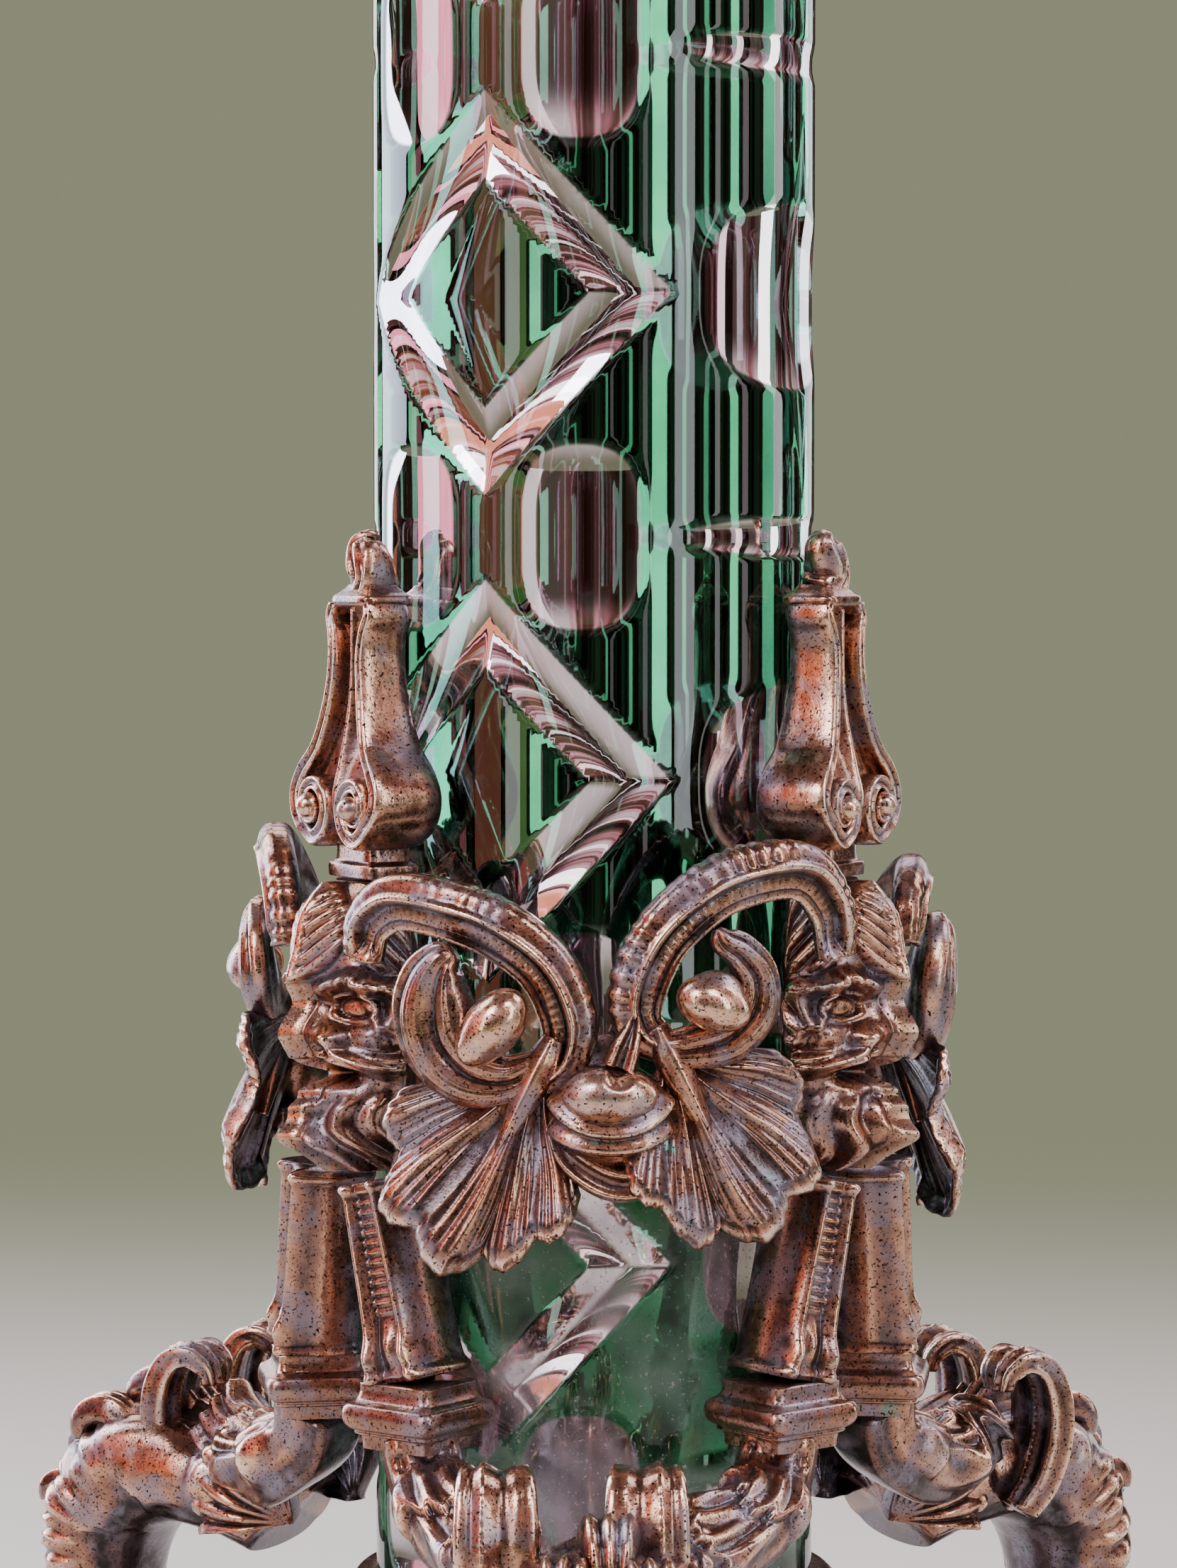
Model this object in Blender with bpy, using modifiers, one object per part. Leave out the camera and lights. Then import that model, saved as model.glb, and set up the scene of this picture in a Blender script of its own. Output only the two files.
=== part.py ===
"""Glass candlestick: a silvered, cut glass column clasped by a bronze tripod of masks, horns and scrolls.

Sizes are written in millimetres times MM. Pieces of the tripod are modelled in the frame of their own
corner, facing -Y, and hang on empties that are turned round the column's axis.
"""

import math

import bmesh
import bpy
import numpy as np
from mathutils import Matrix, Vector

MM = 0.001

# Tripod plan
CORNERS = 3
CORNER_STEP = 360 / CORNERS
MASK_OFFSET = 60                 # degrees from a leg's plane to the masks on either side of it
KNEE_REACH = 117.5 * MM          # column axis to the outside of a leg's knee
BACK_REACH = 69.0 * MM           # column axis to the rear pieces' furthest point
COLUMN_Y = (KNEE_REACH - BACK_REACH) / 2   # puts the middle of the whole box on the origin
GAP = 0.3 * MM                   # left between pieces that touch

# Glass column
GLASS_RADIUS = 40.0 * MM
BORE_RADIUS = 25.3 * MM
SLEEVE_RADIUS = 25.0 * MM
SLEEVE_WALL = 2.5 * MM
GLASS_FOOT = 66.0 * MM
GLASS_TOP = 484.0 * MM
GLASS_CHAMFER = 1.5 * MM

# Tie rod, nuts and bolts
ROD_RADIUS = 4.0 * MM
ROD_HOLE = 4.4 * MM
ROD_FOOT = 42.0 * MM
ROD_TOP = 503.0 * MM
NUT_RADIUS = 9.0 * MM
NUT_HOLE = 4.9 * MM              # corner radius of the six-sided hole
BOLT_RADIUS = 2.0 * MM
BOLT_HOLE = 2.4 * MM
BOLT_HEAD = 3.6 * MM
BOLT_CIRCLE = 34.0 * MM

# Cup under the glass
CUP_UNDERSIDE = 54.3 * MM
CUP_FLOOR = GLASS_FOOT - GAP
CUP_TOP = 80.0 * MM
CUP_BORE = GLASS_RADIUS + GAP
CUP_RADIUS = 43.8 * MM
BOLT_TIP = 62.0 * MM

# Uprights: pilasters, masks and finials
UPRIGHT_INNER = 41.5 * MM
UPRIGHT_OUTER = 50.5 * MM
PILASTER_OFFSET_FOOT = 21.5      # degrees from the mask at the pilaster's foot
PILASTER_OFFSET_TOP = 12.5
PILASTER_FOOT = 123.0 * MM
PILASTER_TOP = 157.5 * MM
PILASTER_WIDTH = 12.0 * MM
PILASTER_INNER = 43.0 * MM
PILASTER_OUTER = 58.5 * MM
CAPITAL_TOP = 122.7 * MM
CAPITAL_FOOT = 111.0 * MM
CAPITAL_RADIUS = 51.0 * MM       # column axis to the middle of a capital
CAPITAL_HALF = 9.0 * MM
MASK_FOOT = 157.8 * MM
MASK_TOP = 209.4 * MM
MASK_WIDTH = 27.0 * MM
FINIAL_FOOT = 209.8 * MM
FINIAL_TOP = 271.0 * MM
FINIAL_RADIUS = 46.0 * MM
FINIAL_DEPTH = 9.0 * MM

# Legs and feet
FOOT_CIRCLE = 104.0 * MM
FOOT_RADIUS = 12.0 * MM
FOOT_HEIGHT = 14.0 * MM
CURL_LEFT = -15.0 * MM           # lateral places of the two curls that crown a leg
CURL_RIGHT = 10.5 * MM

# Ornament over the glass between two masks
ORNAMENT_RADIUS = 57.0 * MM

# Top: collar, seat, pan and nozzle
COLLAR_FOOT = 470.0 * MM
COLLAR_TOP = 494.0 * MM
SEAT_TOP = 512.0 * MM
SEAT_BORE = 11.0 * MM
PAN_RADIUS = 57.0 * MM
PAN_RIM = 522.0 * MM
PAN_FLOOR = 515.5 * MM
NOZZLE_TOP = 565.0 * MM
SOCKET_FLOOR = 537.0 * MM
SOCKET_RADIUS = 11.2 * MM        # takes a 22 mm candle
PAN_SPIGOT = 5.5 * MM            # how far the pan reaches into its seat
PAN_BORE = 8.4 * MM
NOZZLE_SPIGOT = 3.2 * MM         # how far the nozzle reaches into the pan, ending above the seat

BRONZE = (0.42, 0.20, 0.11)
BRONZE_DARK = (0.30, 0.15, 0.09)
GREEN_GLASS = (0.05, 0.33, 0.16)
SILVER = (0.75, 0.72, 0.74)
IRON = (0.28, 0.27, 0.26)

ROUND = 32                       # sides of a large turned piece
SMALL_ROUND = 16


def clear_scene():
    for obj in list(bpy.data.objects):
        bpy.data.objects.remove(obj, do_unlink=True)


def make_collection(name, is_helper=False):
    collection = bpy.data.collections.new(name)
    bpy.context.scene.collection.children.link(collection)
    collection.hide_render = is_helper
    return collection


def make_material(name, colour, roughness, metallic):
    material = bpy.data.materials.new(name)
    material.use_nodes = True
    shader = material.node_tree.nodes["Principled BSDF"]
    shader.inputs["Base Color"].default_value = (*colour, 1)
    shader.inputs["Roughness"].default_value = roughness
    shader.inputs["Metallic"].default_value = metallic
    return material


def make_empty(name, parent=None, angle=0.0, location=(0, 0, 0)):
    """An empty that turns its children round Z by angle degrees."""
    empty = bpy.data.objects.new(name, None)
    PARTS.objects.link(empty)
    empty.parent = parent
    empty.location = location
    empty.rotation_euler[2] = math.radians(angle)
    return empty


def place(obj, parent, material=None, collection=None):
    """Links an object, hangs it on its parent and gives it its material."""
    (collection or PARTS).objects.link(obj)
    obj.parent = parent
    if material:
        obj.data.materials.append(material)
    return obj


def mesh_object(name, mesh_maker):
    """A mesh object whose bmesh is filled by mesh_maker."""
    mesh = bpy.data.meshes.new(name)
    form = bmesh.new()
    mesh_maker(form)
    bmesh.ops.recalc_face_normals(form, faces=form.faces)
    form.to_mesh(mesh)
    form.free()
    return bpy.data.objects.new(name, mesh)


def smooth(obj, angle=35):
    obj.data.shade_smooth()
    obj.data.set_sharp_from_angle(angle=math.radians(angle))


def turned(name, profile, parent, material, sides=ROUND, closed=False):
    """A profile of (radius, height) points, outer side from top to bottom, spun round Z."""
    mesh = bpy.data.meshes.new(name)
    count = len(profile)
    edges = [(i, (i + 1) % count) for i in range(count if closed else count - 1)]
    mesh.from_pydata([(radius, 0, height) for radius, height in profile], edges, [])
    obj = place(bpy.data.objects.new(name, mesh), parent, material)
    screw = obj.modifiers.new("Turn", "SCREW")
    screw.steps = screw.render_steps = sides
    screw.use_merge_vertices = True
    screw.merge_threshold = 0.00001
    return obj


def superellipse(sides, power):
    """Points round a unit superellipse; a power under 1 squares it up."""
    turn = np.arange(sides) / sides * 2 * np.pi + np.pi / sides
    across, along = np.cos(turn), np.sin(turn)
    return np.sign(across) * np.abs(across) ** power, np.sign(along) * np.abs(along) ** power


def unit(vectors):
    return vectors / np.linalg.norm(vectors, axis=-1, keepdims=True)


def smooth_path(points, count):
    """A Catmull-Rom curve through the points, read at count places."""
    points = np.asarray(points, float)
    ends = np.vstack([2 * points[0] - points[1], points, 2 * points[-1] - points[-2]])
    place_on = np.linspace(0, len(points) - 1, count)
    index = np.minimum(place_on.astype(int), len(points) - 2)
    t = (place_on - index)[:, None]
    a, b, c, d = (ends[index + k] for k in range(4))
    return 0.5 * (2 * b + (c - a) * t + (2 * a - 5 * b + 4 * c - d) * t**2
                  + (3 * b - a - 3 * c + d) * t**3)


def swept(name, route, side, sides=8, power=0.7, count=12):
    """A bar of changing section: route rows are x, y, z, width, depth; side is the width's direction."""
    rows = smooth_path(route, count)
    path, widths, depths = rows[:, :3], rows[:, 3], rows[:, 4]
    along = unit(np.gradient(path, axis=0))
    side = side(path) if callable(side) else np.broadcast_to(np.asarray(side, float), path.shape)
    depth_way = unit(np.cross(along, side))
    width_way = np.cross(depth_way, along)
    across, up = superellipse(sides, power)
    rings = (path[:, None]
             + (widths / 2)[:, None, None] * across[None, :, None] * width_way[:, None]
             + (depths / 2)[:, None, None] * up[None, :, None] * depth_way[:, None])

    def fill(form):
        verts = [[form.verts.new(point) for point in ring] for ring in rings]
        for lower, upper in zip(verts, verts[1:]):
            for i in range(sides):
                j = (i + 1) % sides
                form.faces.new((lower[i], lower[j], upper[j], upper[i]))
        form.faces.new(verts[0])
        form.faces.new(verts[-1])

    obj = mesh_object(name, fill)
    smooth(obj, 50)
    return obj


def radial(path):
    """The outward direction at each point of a path round the column."""
    return unit(path * np.array([1, 1, 0]))


def polar(radius, angle, height):
    """A point at radius (metres), angle (degrees from -Y towards +X) and height."""
    turn = math.radians(angle)
    return radius * math.sin(turn), -radius * math.cos(turn), height


def join_by_union(target, others):
    """Boolean unions that make one closed body of the target and its overlapping helpers."""
    for other in others:
        CUTTERS.objects.link(other)
        other.parent = target.parent
        other.hide_render = True
        other.display_type = "WIRE"
        union = target.modifiers.new("Join " + other.name, "BOOLEAN")
        union.operation = "UNION"
        union.object = other


def bore(target, name, radius, low, high, x=0.0, y=0.0):
    """Cuts a round upright hole in the target."""
    bpy.ops.mesh.primitive_cylinder_add(vertices=SMALL_ROUND, radius=radius, depth=high - low)
    cutter = bpy.context.object
    cutter.name = name
    for collection in list(cutter.users_collection):
        collection.objects.unlink(cutter)
    CUTTERS.objects.link(cutter)
    cutter.parent = target.parent
    cutter.location = (x, y, (low + high) / 2)
    cutter.hide_render = True
    cutter.display_type = "WIRE"
    cut = target.modifiers.new("Bore " + name, "BOOLEAN")
    cut.operation = "DIFFERENCE"
    cut.object = cutter


def bevelled(obj, width, segments=1):
    bevel = obj.modifiers.new("Soft edges", "BEVEL")
    bevel.width = width
    bevel.segments = segments
    return obj


# Column ------------------------------------------------------------------------------------------


def glass_shaft():
    profile = [
        (GLASS_RADIUS - GLASS_CHAMFER, GLASS_TOP),
        (GLASS_RADIUS, GLASS_TOP - GLASS_CHAMFER),
        (GLASS_RADIUS, GLASS_FOOT + GLASS_CHAMFER),
        (GLASS_RADIUS - GLASS_CHAMFER, GLASS_FOOT),
        (BORE_RADIUS, GLASS_FOOT),
        (BORE_RADIUS, GLASS_TOP),
    ]
    glass = make_material("green cased glass", GREEN_GLASS, 0.03, 0.0)
    turned("glass_shaft", profile, COLUMN, glass, sides=40, closed=True)


def silvered_sleeve():
    inner = SLEEVE_RADIUS - SLEEVE_WALL
    profile = [(SLEEVE_RADIUS, GLASS_TOP), (SLEEVE_RADIUS, GLASS_FOOT), (inner, GLASS_FOOT), (inner, GLASS_TOP)]
    silver = make_material("silvered lining", SILVER, 0.05, 1.0)
    turned("silvered_sleeve", profile, COLUMN, silver, closed=True)


def tie_rod():
    profile = [(0, ROD_TOP), (ROD_RADIUS, ROD_TOP), (ROD_RADIUS, ROD_FOOT), (0, ROD_FOOT)]
    turned("tie_rod", profile, COLUMN, make_material("iron rod", IRON, 0.5, 1.0), sides=SMALL_ROUND)


def nut(name, low, high):
    """A hexagonal nut with a chamfered lower edge, loose on the rod by its thread clearance."""
    chamfer = 1.5 * MM
    profile = [
        (NUT_RADIUS, high),
        (NUT_RADIUS, low + chamfer),
        (NUT_RADIUS - chamfer, low),
        (NUT_HOLE, low),
        (NUT_HOLE, high),
    ]
    turned(name, profile, COLUMN, make_material("iron nut " + name, IRON, 0.45, 1.0), sides=6, closed=True)


def base_cup():
    bead = 1.2 * MM
    profile = [
        (CUP_RADIUS, CUP_TOP),
        (CUP_RADIUS + bead, CUP_TOP - 1.5 * MM),
        (CUP_RADIUS + bead, CUP_TOP - 4.0 * MM),
        (CUP_RADIUS, CUP_TOP - 5.5 * MM),
        (CUP_RADIUS, CUP_FLOOR - 1.7 * MM),
        (CUP_RADIUS - 1.5 * MM, CUP_FLOOR - 7.5 * MM),
        (CUP_RADIUS - 3.8 * MM, CUP_UNDERSIDE),
        (ROD_HOLE, CUP_UNDERSIDE),
        (ROD_HOLE, CUP_FLOOR),
        (CUP_BORE, CUP_FLOOR),
        (CUP_BORE, CUP_TOP),
    ]
    cup = turned("base_cup", profile, COLUMN, make_material("cup bronze", BRONZE_DARK, 0.45, 1.0), closed=True)
    for corner in range(CORNERS):
        x, y, _ = polar(BOLT_CIRCLE, corner * CORNER_STEP, 0)
        bore(cup, f"cup_bolt_hole_{corner + 1}", BOLT_HOLE, CUP_UNDERSIDE - 2 * MM, BOLT_TIP + 1 * MM, x, y)


# Legs --------------------------------------------------------------------------------------------


def leg(corner, frame):
    """A scroll leg: crest, knee and ankle in one bar, with a strut back to the cup's underside."""
    crest_to_ankle = np.array([
        (0, -66, 82, 26, 9), (0, -80, 87, 32, 13), (0, -93, 90, 34, 17), (0, -103, 84.5, 32, 19),
        (0, -107.5, 73, 27, 20), (0, -106.5, 59, 23, 17), (0, -101, 45, 19, 14), (0, -97.5, 34, 17, 12),
        (0, -99.5, 26, 17, 12), (0, -104, 19.5, 17, 13), (0, -104, 15.2, 17, 14),
    ]) * MM
    strut_route = np.array([
        (0, -103, 52, 11, 8), (0, -92, 60, 11, 8), (0, -78, 60, 11, 8), (0, -63, 52, 11, 8),
        (0, -50, 50.5, 11, 6.5), (0, -29, 50.75, 11, 6.5),
    ]) * MM
    bronze = make_material(f"leg bronze {corner}", BRONZE, 0.38, 1.0)
    body = place(swept(f"leg_{corner}", crest_to_ankle, (1, 0, 0), count=16), frame, bronze)
    strut = swept(f"leg_strut_{corner}", strut_route, (1, 0, 0), count=12, power=0.5)
    join_by_union(body, [strut])
    bore(body, f"leg_bolt_hole_{corner}", BOLT_HOLE, 44 * MM, 58 * MM, 0, -BOLT_CIRCLE)


def leg_bolt(corner, frame):
    """A bolt from below through the strut's end into the cup's floor."""
    head_top = 47.3 * MM
    profile = [
        (0, BOLT_TIP),
        (BOLT_RADIUS, BOLT_TIP),
        (BOLT_RADIUS, head_top),
        (BOLT_HEAD, head_top),
        (BOLT_HEAD, head_top - 3 * MM),
        (BOLT_HEAD - 1 * MM, head_top - 4 * MM),
        (0, head_top - 4 * MM),
    ]
    bolt = turned(f"leg_bolt_{corner}", profile, frame, make_material(f"bolt steel {corner}", IRON, 0.4, 1.0), 12)
    bolt.location = (0, -BOLT_CIRCLE, 0)


def bun_foot(corner, frame):
    """A turned bun foot with a flat sole."""
    rise = FOOT_HEIGHT - GAP
    belly = [
        (FOOT_RADIUS * (0.74 + 0.26 * math.sin(math.pi * step / 4)), rise * (1 - step / 4))
        for step in range(5)
    ]
    profile = [(0, rise), *belly, (0, 0)]
    foot = turned(f"foot_{corner}", profile, frame, make_material(f"foot bronze {corner}", BRONZE, 0.4, 1.0), SMALL_ROUND)
    foot.location = (0, -FOOT_CIRCLE, 0)


def haunch(corner, hand, frame):
    """A capital and the fluted half-leg that runs from it to a curl on the leg's crest."""
    letter = "a" if hand < 0 else "b"
    curl = CURL_LEFT if hand < 0 else CURL_RIGHT
    azimuth = hand * (MASK_OFFSET - PILASTER_OFFSET_FOOT)
    x, y, _ = (value / MM for value in polar(CAPITAL_RADIUS, azimuth, 0))
    curl /= MM
    route = np.array([
        (x, y, 114, 13, 14), (x * 0.93, y * 1.08, 105, 13, 13), (x * 0.8, -52, 98.5, 13, 12),
        (0.45 * x + 0.3 * curl, -61, 97, 13, 11), (0.7 * curl + 0.16 * x, -70, 101, 12.5, 10),
        (curl, -77, 107.5, 12.5, 9), (curl, -83, 113, 13, 7), (curl, -89, 112, 12, 5.5), (curl, -91.5, 107, 9, 4),
    ]) * MM
    name = f"haunch_{corner}{letter}"
    side = unit(np.array([math.cos(math.radians(azimuth)), math.sin(math.radians(azimuth)), 0.0]))
    sides = np.linspace(side, (1.0, 0.0, 0.0), 14)
    bronze = make_material(f"haunch bronze {corner}{letter}", BRONZE, 0.38, 1.0)
    arm = place(swept(name, route, lambda path: unit(sides), count=14, power=0.55), frame, bronze)
    block = capital(f"capital_{corner}{letter}", azimuth)
    join_by_union(arm, [block])


def capital(name, azimuth):
    """A square moulded block: necking, ovolo, abacus, lofted between squares."""
    rise = CAPITAL_TOP - CAPITAL_FOOT
    levels = [(0.0, 0.78), (0.3, 0.8), (0.42, 0.94), (0.6, 1.0), (0.74, 0.98), (0.8, 0.82), (1.0, 0.78)]

    def fill(form):
        rings = []
        for part, size in levels:
            half = CAPITAL_HALF * size
            corners = ((-half, -half), (half, -half), (half, half), (-half, half))
            height = CAPITAL_FOOT + rise * part
            rings.append([form.verts.new((px, py - CAPITAL_RADIUS, height)) for px, py in corners])
        for lower, upper in zip(rings, rings[1:]):
            for i in range(4):
                j = (i + 1) % 4
                form.faces.new((lower[i], lower[j], upper[j], upper[i]))
        form.faces.new(rings[0])
        form.faces.new(rings[-1])

    block = mesh_object(name, fill)
    block.data.transform(Matrix.Rotation(math.radians(azimuth), 4, "Z"))
    return block


# Uprights ----------------------------------------------------------------------------------------


def pilaster(corner, hand, frame):
    """A ladder pilaster that leans towards the mask's chin."""
    letter = "a" if hand < 0 else "b"

    def fill(form):
        bmesh.ops.create_cube(form, size=2)
        for vert in form.verts:
            across, back, up = vert.co
            offset, height, half = (
                (PILASTER_OFFSET_TOP, PILASTER_TOP, 0.40 * PILASTER_WIDTH) if up > 0
                else (PILASTER_OFFSET_FOOT, PILASTER_FOOT, 0.5 * PILASTER_WIDTH)
            )
            radius = PILASTER_INNER if back > 0 else PILASTER_OUTER
            turn = Matrix.Rotation(math.radians(hand * offset), 3, "Z")
            vert.co = turn @ Vector((across * half, -radius, height))

    obj = mesh_object(f"pilaster_{corner}{letter}", fill)
    place(obj, frame, make_material(f"pilaster bronze {corner}{letter}", BRONZE, 0.4, 1.0))
    bevelled(obj, 1.0 * MM)


def bump(distance, width):
    return np.exp(-((distance / width) ** 2))


def mask_relief(x, z):
    """Distance of the mask's surface from the column's axis, in millimetres, over its width and height."""
    face = 8.0 * bump(x, 8.5) * (1 / (1 + np.exp(-(z - 163) / 2.5))) * (1 / (1 + np.exp((z - 200) / 2.5)))
    nose = 6.0 * bump(x, 2.6) * bump(z - 184, 6)
    brow = 2.5 * bump(np.abs(x) - 4, 3.5) * bump(z - 191.5, 2.6)
    whiskers = 3.5 * bump(np.abs(x) - 6, 3.2) * bump(z - 177, 3.6)
    beard = 6.0 * bump(x, 4.2) * bump(z - 164, 6.5)
    crest = 6.0 * bump(x, 3.6) * bump(z - 203, 5.5)
    return UPRIGHT_OUTER / MM + face + nose + brow + whiskers + beard + crest


def mask(corner, frame):
    """A grotesque mask in relief on a thick upright plate."""
    columns, rows = 10, 14

    def fill(form):
        bmesh.ops.create_grid(form, x_segments=columns, y_segments=rows, size=0.5)
        for vert in form.verts:
            across, along = vert.co.x, vert.co.y
            x = across * MASK_WIDTH
            z = MASK_FOOT + (along + 0.5) * (MASK_TOP - MASK_FOOT)
            at_rim = abs(across) > 0.49 or abs(along) > 0.49
            radius = UPRIGHT_OUTER if at_rim else mask_relief(x / MM, z / MM) * MM
            vert.co = Vector((x, -radius, z))
        front = list(form.verts)
        made = bmesh.ops.extrude_face_region(form, geom=form.faces[:])
        for item in made["geom"]:
            if isinstance(item, bmesh.types.BMVert):
                item.co.y = -UPRIGHT_INNER
        back_faces = [face for face in form.faces if all(v not in front for v in face.verts)]
        bmesh.ops.dissolve_faces(form, faces=back_faces)

    obj = mesh_object(f"mask_{corner}", fill)
    place(obj, frame, make_material(f"mask bronze {corner}", BRONZE, 0.36, 1.0))
    smooth(obj, 50)


def finial(corner, frame):
    """A lyre-shaped finial: plinth, volutes, waisted neck and leaf tip, cut as one flat outline."""
    half_outline = [
        (8.2, 0), (8.2, 3.2), (6.6, 4.6), (6.6, 7.4), (10.5, 9.4), (14.6, 12.2), (15.2, 15.6), (13.2, 18.6),
        (9.6, 21.5), (7.4, 26.5), (5.9, 33.0), (5.1, 39.5), (5.9, 43.5), (6.6, 46.0), (4.2, 48.4),
        (3.6, 52.5), (3.9, 56.5), (2.4, 59.8), (0, 61.2),
    ]
    left_side = [(-x, z) for x, z in reversed(half_outline) if x > 0]
    outline = [(x * MM, z * MM, 0) for x, z in half_outline + left_side]
    curve = bpy.data.curves.new(f"finial_{corner}", "CURVE")
    curve.dimensions = "2D"
    curve.fill_mode = "BOTH"
    curve.extrude = FINIAL_DEPTH / 2
    spline = curve.splines.new("POLY")
    spline.points.add(len(outline) - 1)
    for point, co in zip(spline.points, outline):
        point.co = (*co, 1)
    spline.use_cyclic_u = True
    obj = bpy.data.objects.new(f"finial_{corner}", curve)
    place(obj, frame, make_material(f"finial bronze {corner}", BRONZE, 0.36, 1.0))
    obj.rotation_euler[0] = math.pi / 2
    obj.location = (0, -FINIAL_RADIUS, FINIAL_FOOT)


# Ornament over the glass -------------------------------------------------------------------------


def horn(corner, hand, frame):
    """A ribbed horn that rises from a mask's temple and rolls inwards over the glass."""
    letter = "a" if hand < 0 else "b"
    lift = 0.0 if hand < 0 else 6.0
    reach = 57.5
    stations = [
        (45.5, 197, 8, 5), (44.0, 203 + 0.4 * lift, 9, 6), (38.0, 207 + 0.8 * lift, 10, 6),
        (29.0, 206.5 + lift, 10, 6), (19.0, 203.5 + lift, 10, 6), (10.0, 197 + 0.8 * lift, 10, 6),
        (5.8, 188 + 0.7 * lift, 9.5, 6), (6.6, 181 + 0.9 * lift, 8, 5.5), (10.5, 177.5 + lift, 6.5, 5),
        (14.5, 177 + lift, 4.5, 4),
    ]
    route = []
    for angle, height, width, depth in stations:
        turn = math.radians(hand * angle)
        route.append((reach * math.sin(turn), -reach * math.cos(turn), height, depth, width))
    obj = swept(f"horn_{corner}{letter}", np.array(route) * MM, radial, sides=6, power=0.8, count=15)
    place(obj, frame, make_material(f"horn bronze {corner}{letter}", BRONZE, 0.36, 1.0))


def scallop_leaf(corner, hand, frame):
    """A fan-shaped leaf that spreads downwards from the bud and flares away from the glass."""
    letter = "a" if hand < 0 else "b"
    length, spread, lean = (36 * MM, 47, 30) if hand < 0 else (31 * MM, 44, 28)
    root_x, root_z = 11.0 * MM, (175 if hand < 0 else 178) * MM
    rays, rings = 7, 5

    def fill(form):
        bmesh.ops.create_grid(form, x_segments=rays, y_segments=rings, size=0.5)
        for vert in form.verts:
            ray, reach = vert.co.x * 2, vert.co.y + 0.5
            lobe = 1 - 0.05 * math.cos(ray * 5 * math.pi)
            turn = math.radians(lean + ray * spread)
            out = length * (0.12 + 0.88 * reach * lobe) * (1 - 0.18 * abs(ray))
            along = root_x + out * math.sin(turn)
            height = root_z - out * math.cos(turn)
            radius = ORNAMENT_RADIUS + (1.0 + 9.0 * reach**2) * MM
            azimuth = hand * along / ORNAMENT_RADIUS
            vert.co = Vector((radius * math.sin(azimuth), -radius * math.cos(azimuth), height))

    obj = mesh_object(f"scallop_leaf_{corner}{letter}", fill)
    place(obj, frame, make_material(f"leaf bronze {corner}{letter}", BRONZE, 0.38, 1.0))
    shell = obj.modifiers.new("Leaf wall", "SOLIDIFY")
    shell.thickness = 1.8 * MM
    shell.offset = 0


def swelling(name, size, azimuth, height, radius, squash, frame, material):
    """A sphere primitive pressed into an oval boss that faces outwards at its azimuth."""
    def fill(form):
        bmesh.ops.create_uvsphere(form, u_segments=10, v_segments=7, radius=1)
        bmesh.ops.scale(form, vec=(size[0] / 2, squash / 2, size[1] / 2), verts=form.verts)
        bmesh.ops.translate(form, vec=(0, -radius, height), verts=form.verts)
        turn = Matrix.Rotation(math.radians(azimuth), 3, "Z")
        bmesh.ops.rotate(form, matrix=turn, verts=form.verts)
    obj = mesh_object(name, fill)
    obj.data.shade_smooth()
    return place(obj, frame, material)


def berry_curl(corner, hand, frame):
    """The acanthus curl that holds a berry, under the horn's roll."""
    letter = "a" if hand < 0 else "b"
    azimuth, height, size = (-25.5, 186, (19 * MM, 15 * MM)) if hand < 0 else (24.5, 190, (13 * MM, 17 * MM))
    bronze = make_material(f"curl bronze {corner}{letter}", BRONZE, 0.36, 1.0)
    swelling(f"berry_curl_{corner}{letter}", size, azimuth, height * MM, 58 * MM, 10 * MM, frame, bronze)


def bud(corner, frame):
    """The bud in its calyx, where the leaves and horns meet."""
    bronze = make_material(f"bud bronze {corner}", BRONZE, 0.34, 1.0)
    swelling(f"bud_{corner}", (14 * MM, 14 * MM), 0.5, 170 * MM, 60 * MM, 11 * MM, frame, bronze)


# Top ---------------------------------------------------------------------------------------------


def top_collar():
    bead = 1.2 * MM
    profile = [
        (24.0 * MM, COLLAR_TOP),
        (27.0 * MM, COLLAR_TOP - 3.5 * MM),
        (CUP_RADIUS - 3 * MM, COLLAR_TOP - 5.5 * MM),
        (CUP_RADIUS + bead, COLLAR_TOP - 8.5 * MM),
        (CUP_RADIUS + bead, COLLAR_TOP - 11 * MM),
        (CUP_RADIUS, COLLAR_TOP - 12.5 * MM),
        (CUP_RADIUS, COLLAR_FOOT + 1 * MM),
        (CUP_RADIUS - 1 * MM, COLLAR_FOOT),
        (CUP_BORE, COLLAR_FOOT),
        (CUP_BORE, GLASS_TOP + GAP),
        (ROD_HOLE, GLASS_TOP + GAP),
        (ROD_HOLE, COLLAR_TOP),
    ]
    turned("top_collar", profile, COLUMN, make_material("collar bronze", BRONZE, 0.38, 1.0), closed=True)


def pan_seat():
    """A waisted ring round the top nut; the pan's spigot drops into it."""
    profile = [
        (24.0 * MM, SEAT_TOP),
        (25.5 * MM, SEAT_TOP - 1.5 * MM),
        (24.0 * MM, SEAT_TOP - 3.0 * MM),
        (18.5 * MM, SEAT_TOP - 6.0 * MM),
        (16.0 * MM, SEAT_TOP - 10.5 * MM),
        (17.5 * MM, SEAT_TOP - 15.0 * MM),
        (22.5 * MM, COLLAR_TOP + GAP),
        (SEAT_BORE, COLLAR_TOP + GAP),
        (SEAT_BORE, SEAT_TOP),
    ]
    turned("pan_seat", profile, COLUMN, make_material("seat bronze", BRONZE, 0.38, 1.0), 24, closed=True)


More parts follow.
